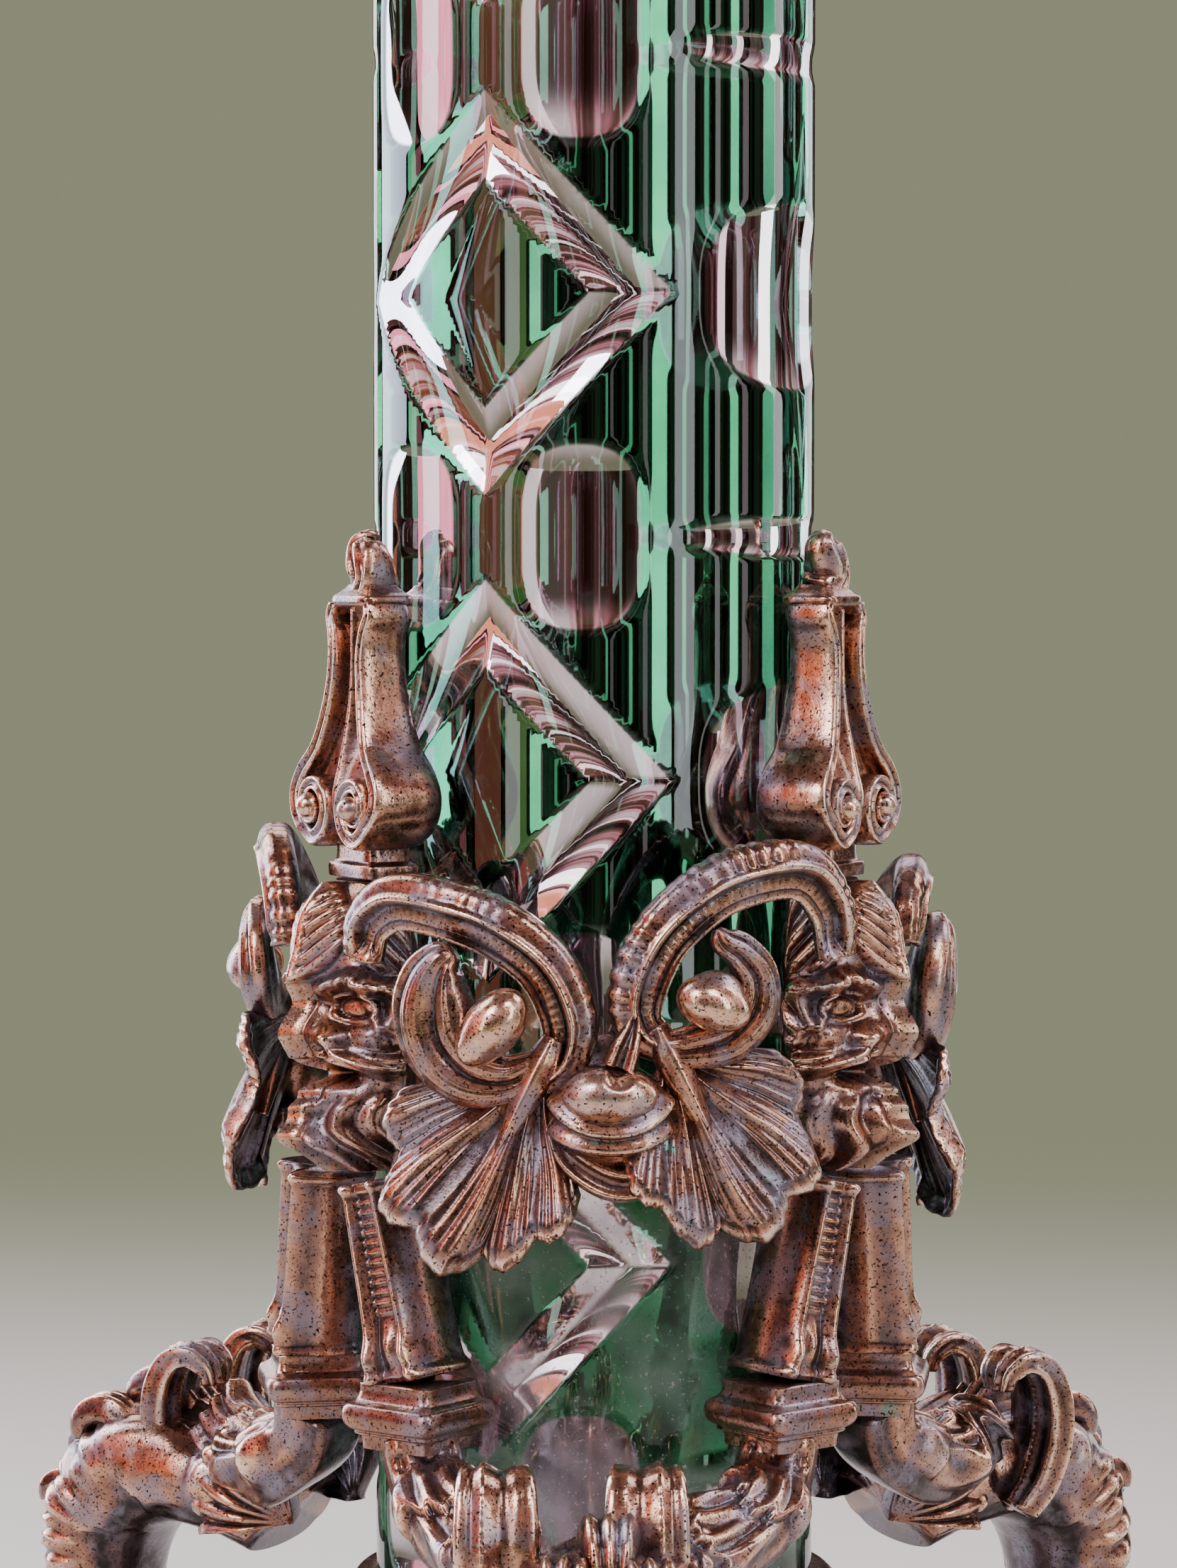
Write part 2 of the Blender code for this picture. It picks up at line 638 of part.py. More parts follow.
def drip_pan():
    under = SEAT_TOP + GAP
    spigot = SEAT_BORE - 0.6 * MM
    profile = [
        (PAN_RADIUS - 1.0 * MM, PAN_RIM),
        (PAN_RADIUS, PAN_RIM - 0.8 * MM),
        (PAN_RADIUS - 0.6 * MM, PAN_RIM - 2.4 * MM),
        (46.0 * MM, PAN_RIM - 8.0 * MM),
        (30.0 * MM, under),
        (spigot, under),
        (spigot, under - PAN_SPIGOT),
        (PAN_BORE, under - PAN_SPIGOT),
        (PAN_BORE, PAN_FLOOR),
        (32.0 * MM, PAN_FLOOR),
        (46.0 * MM, PAN_RIM - 4.8 * MM),
        (PAN_RADIUS - 2.6 * MM, PAN_RIM - 0.4 * MM),
    ]
    turned("drip_pan", profile, COLUMN, make_material("pan bronze", BRONZE, 0.36, 1.0), closed=True)


def nozzle():
    """A candle socket on a short stem, with a spigot that drops through the pan."""
    seat = PAN_FLOOR + GAP
    spigot = PAN_BORE - 0.4 * MM
    profile = [
        (SOCKET_RADIUS + 9.0 * MM, NOZZLE_TOP),
        (SOCKET_RADIUS + 10.0 * MM, NOZZLE_TOP - 1.0 * MM),
        (SOCKET_RADIUS + 8.8 * MM, NOZZLE_TOP - 2.8 * MM),
        (SOCKET_RADIUS + 3.6 * MM, NOZZLE_TOP - 5.5 * MM),
        (SOCKET_RADIUS + 3.0 * MM, NOZZLE_TOP - 11.0 * MM),
        (SOCKET_RADIUS + 4.6 * MM, NOZZLE_TOP - 18.0 * MM),
        (SOCKET_RADIUS + 4.2 * MM, NOZZLE_TOP - 24.0 * MM),
        (SOCKET_RADIUS - 0.5 * MM, NOZZLE_TOP - 30.5 * MM),
        (7.0 * MM, NOZZLE_TOP - 35.0 * MM),
        (6.4 * MM, NOZZLE_TOP - 39.0 * MM),
        (8.5 * MM, NOZZLE_TOP - 43.0 * MM),
        (13.0 * MM, seat + 1.6 * MM),
        (14.0 * MM, seat),
        (spigot, seat),
        (spigot, seat - NOZZLE_SPIGOT),
        (0, seat - NOZZLE_SPIGOT),
    ]
    inside = [(0, SOCKET_FLOOR), (SOCKET_RADIUS, SOCKET_FLOOR), (SOCKET_RADIUS, NOZZLE_TOP)]
    turned("nozzle", inside + profile, COLUMN, make_material("nozzle bronze", BRONZE, 0.36, 1.0), 24)


# Assembly ----------------------------------------------------------------------------------------

clear_scene()
PARTS = make_collection("glass_candlestick")
CUTTERS = make_collection("cutters", is_helper=True)
COLUMN = make_empty("column_axis", location=(0, COLUMN_Y, 0))

glass_shaft()
silvered_sleeve()
tie_rod()
nut("base_nut", CUP_UNDERSIDE - GAP - 9 * MM, CUP_UNDERSIDE - GAP)
nut("top_nut", COLLAR_TOP + GAP, COLLAR_TOP + GAP + 6 * MM)
base_cup()
top_collar()
pan_seat()
drip_pan()
nozzle()

for number in range(1, CORNERS + 1):
    front = (number - 1) * CORNER_STEP
    leg_frame = make_empty(f"leg_frame_{number}", COLUMN, front)
    mask_frame = make_empty(f"mask_frame_{number}", COLUMN, front + MASK_OFFSET)
    leg(number, leg_frame)
    leg_bolt(number, leg_frame)
    bun_foot(number, leg_frame)
    bud(number, leg_frame)
    mask(number, mask_frame)
    finial(number, mask_frame)
    for side_hand in (-1, 1):
        haunch(number, side_hand, leg_frame)
        horn(number, side_hand, leg_frame)
        scallop_leaf(number, side_hand, leg_frame)
        berry_curl(number, side_hand, leg_frame)
        pilaster(number, side_hand, mask_frame)
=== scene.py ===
"""Glass candlestick: the finished look, laid out as an add-on and run as a script.

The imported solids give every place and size. Each operator makes one piece or one group of like pieces,
as surfaces worked out with numpy, and dresses it in its own material. Pieces of the tripod are worked out
in millimetres in the frame of their own corner, as rows of (across, out, up): across runs to the right as
seen from outside, out is the distance from the column's axis and up is the height above the table.
"""

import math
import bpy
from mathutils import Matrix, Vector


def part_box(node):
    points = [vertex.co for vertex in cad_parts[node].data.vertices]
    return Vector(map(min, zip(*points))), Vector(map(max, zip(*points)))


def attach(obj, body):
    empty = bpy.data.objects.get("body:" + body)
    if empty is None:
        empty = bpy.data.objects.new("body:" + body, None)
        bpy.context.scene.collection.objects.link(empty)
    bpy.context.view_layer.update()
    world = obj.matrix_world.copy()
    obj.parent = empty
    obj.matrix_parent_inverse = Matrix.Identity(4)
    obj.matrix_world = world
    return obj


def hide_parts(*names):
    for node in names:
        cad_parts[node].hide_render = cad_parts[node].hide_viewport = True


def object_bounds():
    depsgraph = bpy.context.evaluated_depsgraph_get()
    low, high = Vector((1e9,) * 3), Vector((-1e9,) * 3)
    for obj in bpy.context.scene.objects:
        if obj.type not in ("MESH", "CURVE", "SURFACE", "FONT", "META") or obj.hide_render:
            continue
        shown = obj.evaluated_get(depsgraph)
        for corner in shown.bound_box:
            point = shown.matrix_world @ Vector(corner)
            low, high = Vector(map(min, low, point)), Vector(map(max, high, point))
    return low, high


bl_info = {
    "name": "Glass candlestick",
    "version": (1, 0, 0),
    "blender": (4, 5, 0),
    "location": "3D View > Sidebar > Candlestick",
    "description": "Builds a silvered, cut glass column on a chased bronze tripod",
    "category": "Object",
}

import bpy
import numpy as np

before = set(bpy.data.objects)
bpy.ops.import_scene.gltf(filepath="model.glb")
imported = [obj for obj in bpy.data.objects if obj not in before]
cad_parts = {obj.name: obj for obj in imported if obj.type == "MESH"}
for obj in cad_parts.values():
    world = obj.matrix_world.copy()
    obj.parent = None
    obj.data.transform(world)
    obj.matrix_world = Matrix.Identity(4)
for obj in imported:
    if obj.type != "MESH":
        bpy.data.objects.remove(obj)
CAD_BOX = [list(corner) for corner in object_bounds()]

MM = 0.001
CORNERS = 3
CORNER_STEP = 120.0
MASK_TURN = 60.0                  # degrees from a leg's plane to the next mask
STAND = "stand"

GLASS_LOW, GLASS_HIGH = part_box("glass_shaft")
AXIS_X = (GLASS_LOW.x + GLASS_HIGH.x) / 2
AXIS_Y = (GLASS_LOW.y + GLASS_HIGH.y) / 2
GLASS_RADIUS = (GLASS_HIGH.x - GLASS_LOW.x) / 2
BORE_RADIUS = (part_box("silvered_sleeve")[1].x - AXIS_X) + 0.3 * MM
FLOOR_HEIGHT = CAD_BOX[0][2]


def height_of(node, upper=False):
    """A node's lowest or highest point, in millimetres."""
    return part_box(node)[1 if upper else 0].z / MM


# Colour and material helpers ---------------------------------------------------------------------


def linear(hex_colour):
    """Turns an sRGB hex colour into linear red, green and blue."""
    parts = [int(hex_colour[i:i + 2], 16) / 255 for i in (1, 3, 5)]
    return tuple(c / 12.92 if c <= 0.04045 else ((c + 0.055) / 1.055) ** 2.4 for c in parts)


def node(tree, kind, links=None, **settings):
    """Adds a shader node: links {input: socket}, inputs by name or index, the rest as attributes."""
    made = tree.nodes.new(kind)
    for key, value in settings.get("inputs", {}).items():
        made.inputs[key].default_value = value
    for key, value in settings.items():
        if key != "inputs":
            setattr(made, key, value)
    for key, socket in (links or {}).items():
        tree.links.new(socket, made.inputs[key])
    return made


def ramp(tree, factor, stops, interpolation="LINEAR"):
    """A colour ramp from (place, colour) stops."""
    made = node(tree, "ShaderNodeValToRGB", {"Fac": factor})
    made.color_ramp.interpolation = interpolation
    while len(made.color_ramp.elements) < len(stops):
        made.color_ramp.elements.new(0.5)
    for element, (place, colour) in zip(made.color_ramp.elements, stops):
        element.position = place
        element.color = (*colour, 1)
    return made.outputs["Color"]


def grey(value):
    return (value, value, value)


def new_material(name):
    """An empty node material with its Principled shader."""
    material = bpy.data.materials.new(name)
    material.use_nodes = True
    tree = material.node_tree
    return material, tree, tree.nodes["Principled BSDF"]


def bronze_material(name, colours, seed=0.0):
    """Cast and chased bronze, lacquer worn: copper on the ridges, brown flats, near-black recesses of grime
    and painted shade, with grey-violet tarnish and fine dark pits. Reads each piece's own wear attribute, 0
    deep or shaded to 1 proud."""
    material, tree, shader = new_material(name)
    place = node(tree, "ShaderNodeTexCoord").outputs["Object"]
    moved = node(tree, "ShaderNodeMapping", {"Vector": place}, inputs={"Location": (seed, seed * 0.7, 0)})
    place = moved.outputs["Vector"]
    wear = node(tree, "ShaderNodeAttribute", attribute_name="wear").outputs["Fac"]
    # Clouds of tarnish about 9 mm across, mottling about 2 mm, pits about 0.4 mm.
    clouds = node(tree, "ShaderNodeTexNoise", {"Vector": place},
                  inputs={"Scale": 110.0, "Detail": 3.0, "Roughness": 0.6}).outputs["Fac"]
    mottle = node(tree, "ShaderNodeTexNoise", {"Vector": place},
                  inputs={"Scale": 520.0, "Detail": 4.0, "Roughness": 0.65}).outputs["Fac"]
    grit = node(tree, "ShaderNodeTexNoise", {"Vector": place},
                inputs={"Scale": 2100.0, "Detail": 2.0, "Roughness": 0.5}).outputs["Fac"]

    spread = node(tree, "ShaderNodeMath", {0: mottle}, operation="MULTIPLY_ADD",
                  inputs={1: 0.50, 2: -0.25}).outputs[0]
    proud = node(tree, "ShaderNodeMath", {0: wear, 1: spread}, operation="ADD", use_clamp=True).outputs[0]
    # Darkest in the hollows, grime and painted shade, to lightest on the rubbed ridges.
    base = ramp(tree, proud, [
        (0.0, colours["recess"]), (0.24, colours["shade"]), (0.50, colours["brown"]),
        (0.74, colours["copper"]), (1.0, colours["bright"]),
    ])
    tarnish = ramp(tree, clouds, [(0.47, grey(0.0)), (0.63, grey(0.70))])
    tarnished = node(tree, "ShaderNodeMix", {"Factor": tarnish, 6: base}, data_type="RGBA",
                     inputs={7: (*colours["tarnish"], 1)}).outputs[2]
    # Verdigris: a few crusts some 6 mm across, only where the surface lies low.
    crusts = node(tree, "ShaderNodeTexNoise", {"Vector": place}, inputs={"Scale": 75.0, "Detail": 6.0})
    crust = ramp(tree, crusts.outputs["Fac"], [(0.69, grey(0.0)), (0.73, grey(0.8))])
    low = ramp(tree, wear, [(0.42, grey(1.0)), (0.56, grey(0.0))])
    green = node(tree, "ShaderNodeMath", {0: crust, 1: low}, operation="MULTIPLY").outputs[0]
    tarnished = node(tree, "ShaderNodeMix", {"Factor": green, 6: tarnished}, data_type="RGBA",
                     inputs={7: (*colours["verdigris"], 1)}).outputs[2]
    pits = ramp(tree, grit, [(0.34, grey(1.0)), (0.42, grey(0.0))])
    pitted = node(tree, "ShaderNodeMix", {"Factor": pits, 6: tarnished}, data_type="RGBA",
                  inputs={7: (*colours["recess"], 1)}).outputs[2]
    tree.links.new(pitted, shader.inputs["Base Color"])
    metal = ramp(tree, proud, [(0.0, grey(0.55)), (0.35, grey(0.92)), (1.0, grey(1.0))])
    tree.links.new(metal, shader.inputs["Metallic"])
    rough = ramp(tree, mottle, [(0.3, grey(0.10)), (0.7, grey(0.25))])
    dull = node(tree, "ShaderNodeMix", {"Factor": tarnish, 2: rough}, data_type="FLOAT", inputs={3: 0.40})
    tree.links.new(dull.outputs[0], shader.inputs["Roughness"])
    fine = node(tree, "ShaderNodeBump", {"Height": grit}, inputs={"Strength": 0.20, "Distance": 0.00010})
    cast = node(tree, "ShaderNodeBump", {"Height": mottle, "Normal": fine.outputs["Normal"]},
                inputs={"Strength": 0.22, "Distance": 0.0004})
    tree.links.new(cast.outputs["Normal"], shader.inputs["Normal"])
    return material


def cased_glass_material(colours):
    """Polished soda glass cased in green: the casing tints every ray that crosses it, and where the
    wheel has cut deeper than the casing the glass is clear."""
    material, tree, shader = new_material("green cased glass, wheel cut and polished")
    depth = node(tree, "ShaderNodeAttribute", attribute_name="cut_depth").outputs["Fac"]
    place = node(tree, "ShaderNodeTexCoord").outputs["Object"]
    # The casing is a little thicker and thinner in slow waves about 30 mm long.
    waves = node(tree, "ShaderNodeTexNoise", {"Vector": place}, inputs={"Scale": 30.0, "Detail": 1.0})
    green = ramp(tree, waves.outputs["Fac"], [(0.3, colours["casing"]), (0.7, colours["casing_deep"])])
    cut = ramp(tree, depth, [(0.20, grey(0.0)), (0.34, grey(1.0))])
    tint = node(tree, "ShaderNodeMix", {"Factor": cut, 6: green}, data_type="RGBA",
                inputs={7: (*colours["clear"], 1)}).outputs[2]
    # Dust has settled low down, behind the ornaments, thickest in patches 10 mm across and as specks.
    height = node(tree, "ShaderNodeSeparateXYZ", {0: place}).outputs["Z"]
    low = node(tree, "ShaderNodeMapRange", {"Value": height}, interpolation_type="SMOOTHSTEP", inputs={
        "From Min": 0.215, "From Max": 0.135, "To Min": 0.0, "To Max": 1.0}).outputs[0]
    patches = node(tree, "ShaderNodeTexNoise", {"Vector": place}, inputs={"Scale": 95.0, "Detail": 5.0})
    film = ramp(tree, patches.outputs["Fac"], [(0.40, grey(0.05)), (0.70, grey(0.50))])
    specks = node(tree, "ShaderNodeTexNoise", {"Vector": place}, inputs={"Scale": 1500.0, "Detail": 1.0})
    speck = ramp(tree, specks.outputs["Fac"], [(0.66, grey(0.0)), (0.72, grey(0.5))])
    dirt = node(tree, "ShaderNodeMath", {0: film, 1: speck}, operation="ADD").outputs[0]
    dust = node(tree, "ShaderNodeMath", {0: dirt, 1: low}, operation="MULTIPLY", use_clamp=True).outputs[0]
    dusty = node(tree, "ShaderNodeMix", {"Factor": dust, 6: tint}, data_type="RGBA",
                 inputs={7: (*colours["dust"], 1)}).outputs[2]
    tree.links.new(dusty, shader.inputs["Base Color"])
    clear = node(tree, "ShaderNodeMath", {1: dust}, operation="SUBTRACT", inputs={0: 1.0}).outputs[0]
    tree.links.new(clear, shader.inputs["Transmission Weight"])
    # The wheel's cuts show the silvering close under them, so part of their light comes straight back.
    silvered = node(tree, "ShaderNodeMath", {0: cut, 1: clear}, operation="MULTIPLY").outputs[0]
    mirror = node(tree, "ShaderNodeMath", {0: silvered}, operation="MULTIPLY", inputs={1: 0.62}).outputs[0]
    tree.links.new(mirror, shader.inputs["Metallic"])
    shader.inputs["IOR"].default_value = 1.52
    rough = ramp(tree, dust, [(0.0, grey(0.008)), (1.0, grey(0.22))])
    tree.links.new(rough, shader.inputs["Roughness"])
    return material


def silvering_material(colours):
    """Silver deposited on the inside of the glass, a warm mirror with a faint violet cloudiness."""
    material, tree, shader = new_material("deposited silver mirror")
    place = node(tree, "ShaderNodeTexCoord").outputs["Object"]
    clouds = node(tree, "ShaderNodeTexNoise", {"Vector": place}, inputs={"Scale": 45.0, "Detail": 4.0})
    tone = ramp(tree, clouds.outputs["Fac"], [(0.35, colours["silver"]), (0.75, colours["silver_violet"])])
    tree.links.new(tone, shader.inputs["Base Color"])
    shader.inputs["Metallic"].default_value = 1.0
    shader.inputs["Roughness"].default_value = 0.03
    return material


def iron_material():
    """Turned iron, dull and brown in patches."""
    material, tree, shader = new_material("turned iron, browned")
    place = node(tree, "ShaderNodeTexCoord").outputs["Object"]
    rust = node(tree, "ShaderNodeTexNoise", {"Vector": place}, inputs={"Scale": 300.0, "Detail": 6.0})
    tone = ramp(tree, rust.outputs["Fac"], [(0.4, linear("#4A4643")), (0.65, linear("#5E3F2C"))])
    tree.links.new(tone, shader.inputs["Base Color"])
    shader.inputs["Metallic"].default_value = 0.9
    rough = ramp(tree, rust.outputs["Fac"], [(0.4, grey(0.38)), (0.65, grey(0.75))])
    tree.links.new(rough, shader.inputs["Roughness"])
    return material


# Surface helpers ---------------------------------------------------------------------------------


def unit(vectors):
    return vectors / np.maximum(np.linalg.norm(vectors, axis=-1, keepdims=True), 1e-12)


def bell(distance, width):
    """A smooth hump, 1 at no distance and 0.37 at one width."""
    return np.exp(-((np.asarray(distance) / width) ** 2))


def step(value, low, high):
    """Rises smoothly from 0 at low to 1 at high."""
    part = np.clip((np.asarray(value) - low) / (high - low), 0, 1)
    return part * part * (3 - 2 * part)


def through(points, count):
    """A Catmull-Rom curve through the rows of points, read at count even places."""
    points = np.asarray(points, float)
    ends = np.vstack([2 * points[0] - points[1], points, 2 * points[-1] - points[-2]])
    where = np.linspace(0, len(points) - 1, count)
    index = np.minimum(where.astype(int), len(points) - 2)
    t = (where - index)[:, None]
    a, b, c, d = (ends[index + k] for k in range(4))
    return 0.5 * (2 * b + (c - a) * t + (2 * a - 5 * b + 4 * c - d) * t**2
                  + (3 * b - a - 3 * c + d) * t**3)


def even(points, count):
    """The same curve with its points spaced evenly along its length."""
    fine = through(points, 12 * len(points))
    gone = np.concatenate([[0], np.cumsum(np.linalg.norm(np.diff(fine[:, :3], axis=0), axis=1))])
    wanted = np.linspace(0, gone[-1], count)
    return np.stack([np.interp(wanted, gone, column) for column in fine.T], axis=1)


def profile(height, stops):
    """Reads a table of (height, value) stops as a smooth curve."""
    stops = np.asarray(stops, float)
    fine = through(stops, 16 * len(stops))
    order = np.argsort(fine[:, 0], kind="stable")
    return np.interp(height, fine[order, 0], fine[order, 1])


def outward(points, faces):
    """Turns the faces round if the closed shape that they make is inside out."""
    a, b, c = (points[faces[:, i]] for i in range(3))
    volume = np.einsum("ij,ij->i", a, np.cross(b, c)).sum()
    d = points[faces[:, 3]]
    volume += np.einsum("ij,ij->i", a, np.cross(c, d)).sum()
    return faces if volume > 0 else faces[:, ::-1]


def tube(rings, wear):
    """A closed skin over rings of points, each end closed on the ring's middle.
    rings is (count, around, 3) and wear (count, around)."""
    count, around, _ = rings.shape
    start, end = rings[0].mean(axis=0), rings[-1].mean(axis=0)
    points = np.concatenate([rings.reshape(-1, 3), [start, end]])
    i, j = np.meshgrid(np.arange(count - 1), np.arange(around), indexing="ij")
    k = (j + 1) % around
    quads = np.stack([i * around + j, i * around + k, (i + 1) * around + k, (i + 1) * around + j], -1)
    j = np.arange(around)
    k = (j + 1) % around
    first, last = count * around, count * around + 1
    low = np.stack([k, j, np.full(around, first), np.full(around, first)], -1)
    base = (count - 1) * around
    high = np.stack([base + j, base + k, np.full(around, last), np.full(around, last)], -1)
    faces = np.concatenate([quads.reshape(-1, 4), low, high])
    shade = np.concatenate([wear.reshape(-1), [wear[0].mean(), wear[-1].mean()]])
    return points, outward(points, faces), shade


def sheet(front, back, wear, back_shade=0.15):
    """A closed thin form between two grids of points that share an edge line, such as a leaf."""
    rows, columns, _ = front.shape
    rings = np.concatenate([front, back[:, ::-1]], axis=1)
    # The back is painted dark, painted shade on the side turned away from the light.
    shade = np.concatenate([wear, np.full((rows, columns), back_shade)], axis=1)
    around = 2 * columns
    points = rings.reshape(-1, 3)
    i, j = np.meshgrid(np.arange(rows - 1), np.arange(around), indexing="ij")
    k = (j + 1) % around
    quads = np.stack([i * around + j, i * around + k, (i + 1) * around + k, (i + 1) * around + j], -1)
    j = np.arange(columns - 1)
    cap = np.stack([j + 1, j, around - 1 - j, around - 2 - j], -1)
    far = cap[:, ::-1] + (rows - 1) * around
    faces = np.concatenate([quads.reshape(-1, 4), cap, far])
    return points, outward(points, faces), shade.reshape(-1)


def section(front, side, squareness=4.0):
    """Points round a rounded square, as (u, v): front runs along v = 1 from u = -1 to 1."""
    along = np.linspace(-1, 1, front, endpoint=False)
    down = np.linspace(1, -1, side, endpoint=False)
    back = np.linspace(1, -1, max(front // 2, 4), endpoint=False)
    up = np.linspace(-1, 1, side, endpoint=False)
    u = np.concatenate([along, np.ones(side), back, -np.ones(side)])
    v = np.concatenate([np.ones(front), down, -np.ones(len(back)), up])
    size = (np.abs(u) ** squareness + np.abs(v) ** squareness) ** (-1 / squareness)
    return u * size, v * size


def away(path):
    """Straight out from the column's axis at each point."""
    return unit(path * np.array([1.0, 1.0, 0.0]))


def boss(centre, radii, facing=None, relief=None, rows=28, around=40, wear=0.7):
    """A closed oval swelling at centre with half-sizes radii; relief(latitude, turn) adds (lift, wear)."""
    latitude = np.linspace(-math.pi / 2, math.pi / 2, rows + 2)[1:-1][:, None]
    turn = np.linspace(0, 2 * math.pi, around, endpoint=False)[None]
    unit_points = np.stack([np.cos(latitude) * np.cos(turn), np.cos(latitude) * np.sin(turn),
                            np.sin(latitude) + 0 * turn], -1)
    shade = np.full(unit_points.shape[:2], wear)
    lift = 0.0
    if relief:
        lift, shade = relief(latitude + 0 * turn, turn + 0 * latitude)
    points = unit_points * (np.asarray(radii, float) + np.asarray(lift)[..., None])
    if facing is not None:
        points = points @ np.asarray(facing, float)
    return tube(points + np.asarray(centre, float), np.broadcast_to(shade, points.shape[:2]))


def corner_to_world(points, angle):
    """Turns (across, out, up) millimetres of the corner at angle degrees into metres in the frame."""
    turn = math.radians(angle)
    across, out, up = points.T * MM
    return np.stack([
        AXIS_X + across * math.cos(turn) + out * math.sin(turn),
        AXIS_Y + across * math.sin(turn) - out * math.cos(turn),
        up,
    ], axis=1)


def mesh_from(name, points, faces, values, value_name="wear"):
    """A mesh of four-cornered faces, those that repeat their last corner made three-cornered."""
    three = faces[:, 2] == faces[:, 3]
    three_first = faces[:, 0] == faces[:, 1]
    triangles = np.concatenate([faces[three][:, :3], faces[three_first][:, 1:]])
    quads = faces[~three & ~three_first]
    loops = np.concatenate([quads.reshape(-1), triangles.reshape(-1)])
    starts = np.concatenate([np.arange(len(quads)) * 4, 4 * len(quads) + np.arange(len(triangles)) * 3])
    mesh = bpy.data.meshes.new(name)
    mesh.vertices.add(len(points))
    mesh.vertices.foreach_set("co", np.ascontiguousarray(points, np.float32).reshape(-1))
    mesh.loops.add(len(loops))
    mesh.loops.foreach_set("vertex_index", loops.astype(np.int32))
    mesh.polygons.add(len(starts))
    mesh.polygons.foreach_set("loop_start", starts.astype(np.int32))
    mesh.update(calc_edges=True)
    mesh.validate()
    layer = mesh.attributes.new(value_name, "FLOAT", "POINT")
    layer.data.foreach_set("value", np.clip(values, 0, None).astype(np.float32))
    mesh.shade_smooth()
    return mesh


def put_piece(mesh, materials, nodes, body=STAND):
    """Makes the mesh an object that stands for its nodes and moves with its body."""
    piece = bpy.data.objects.new(mesh.name, mesh)
    bpy.context.scene.collection.objects.link(piece)
    for material in materials:
        mesh.materials.append(material)
    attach(piece, body)
    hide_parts(*nodes)
    return piece


def cast(name, shapes, angle, material, nodes, body=STAND, sharp=None):
    """Joins closed shapes worked out in a corner's millimetres into one bronze piece."""
    points, faces, wear = [], [], []
    start = 0
    for shape_points, shape_faces, shape_wear in shapes:
        points.append(shape_points)
        faces.append(shape_faces + start)
        wear.append(shape_wear)
        start += len(shape_points)
    world = corner_to_world(np.concatenate(points), angle)
    faces = np.concatenate(faces)
    # (across, out, up) is left-handed, so the turn into the frame mirrors the shape.
    mesh = mesh_from(name, world, faces[:, ::-1], np.concatenate(wear))
    if sharp:
        mesh.set_sharp_from_angle(angle=math.radians(sharp))
    return put_piece(mesh, [material], nodes, body)


# The column --------------------------------------------------------------------------------------

PATTERN_PITCH = 85.0              # mm from one diamond to the next up the column
PATTERN_START = 142.5             # height of the lowest diamond's middle
FACES = 2                         # the whole pattern comes twice round the column


def turned_from(angle, place):
    """Degrees from a place on the column, the shorter way, with the pattern repeating."""
    period = 360.0 / FACES
    return (angle - place + period / 2) % period - period / 2


def soft(value, edge):
    """The part of value above zero, eased in over the edge."""
    return 0.5 * (value + np.sqrt(value**2 + edge**2)) * step(value, -3 * edge, 0)


def cut_depth(angle, height, sizes):
    """How deep the wheel went, in mm, at angles and heights on the column.

    A diamond's groove is a hollow, depth (1 - (distance / half width) ^ 1.6), along the line
    |across| / a + |up| / b = 1. Printies and splits are shallow bowls,
    depth (1 - (across / a)^m - (up / b)^n).
    The deepest cut wins where two meet.
    """
    radius = GLASS_RADIUS / MM
    on_row = (height - PATTERN_START + PATTERN_PITCH / 2) % PATTERN_PITCH - PATTERN_PITCH / 2
    off_row = (height - PATTERN_START) % PATTERN_PITCH - PATTERN_PITCH / 2

    def across(place):
        return np.radians(turned_from(angle, place)) * radius

    a, b = sizes.diamond_width / 2 / MM, sizes.diamond_height / 2 / MM
    from_line = np.abs(np.abs(across(-30.0)) / a + np.abs(on_row) / b - 1) * a * b / math.hypot(a, b)
    # A polished cut has no knife edges: its bottom and its lips are rounded over about a millimetre.
    hollow = soft(1 - (from_line / (sizes.groove_width / 2 / MM)) ** 1.6, 0.08)
    depth = sizes.groove_depth / MM * hollow

    def bowl(place, up, half_width, half_height, deep, power=2.0, up_power=2.0):
        part = 1 - (np.abs(across(place)) / half_width) ** power - (np.abs(up) / half_height) ** up_power
        return deep * soft(part, 0.09)

    for place in (-55.0, -5.0):
        depth = np.maximum(depth, bowl(place, off_row, 11.6, 17.0, sizes.printy_depth / MM, 2.3, 4.0))
    depth = np.maximum(depth, bowl(60.0, on_row, 24.0, 17.0, sizes.printy_depth / MM * 1.5, 2.0, 3.2))
    depth = np.maximum(depth, bowl(60.0, off_row, 30.0, 3.8, sizes.printy_depth / MM * 0.6, 2.6, 2.6))
    return depth


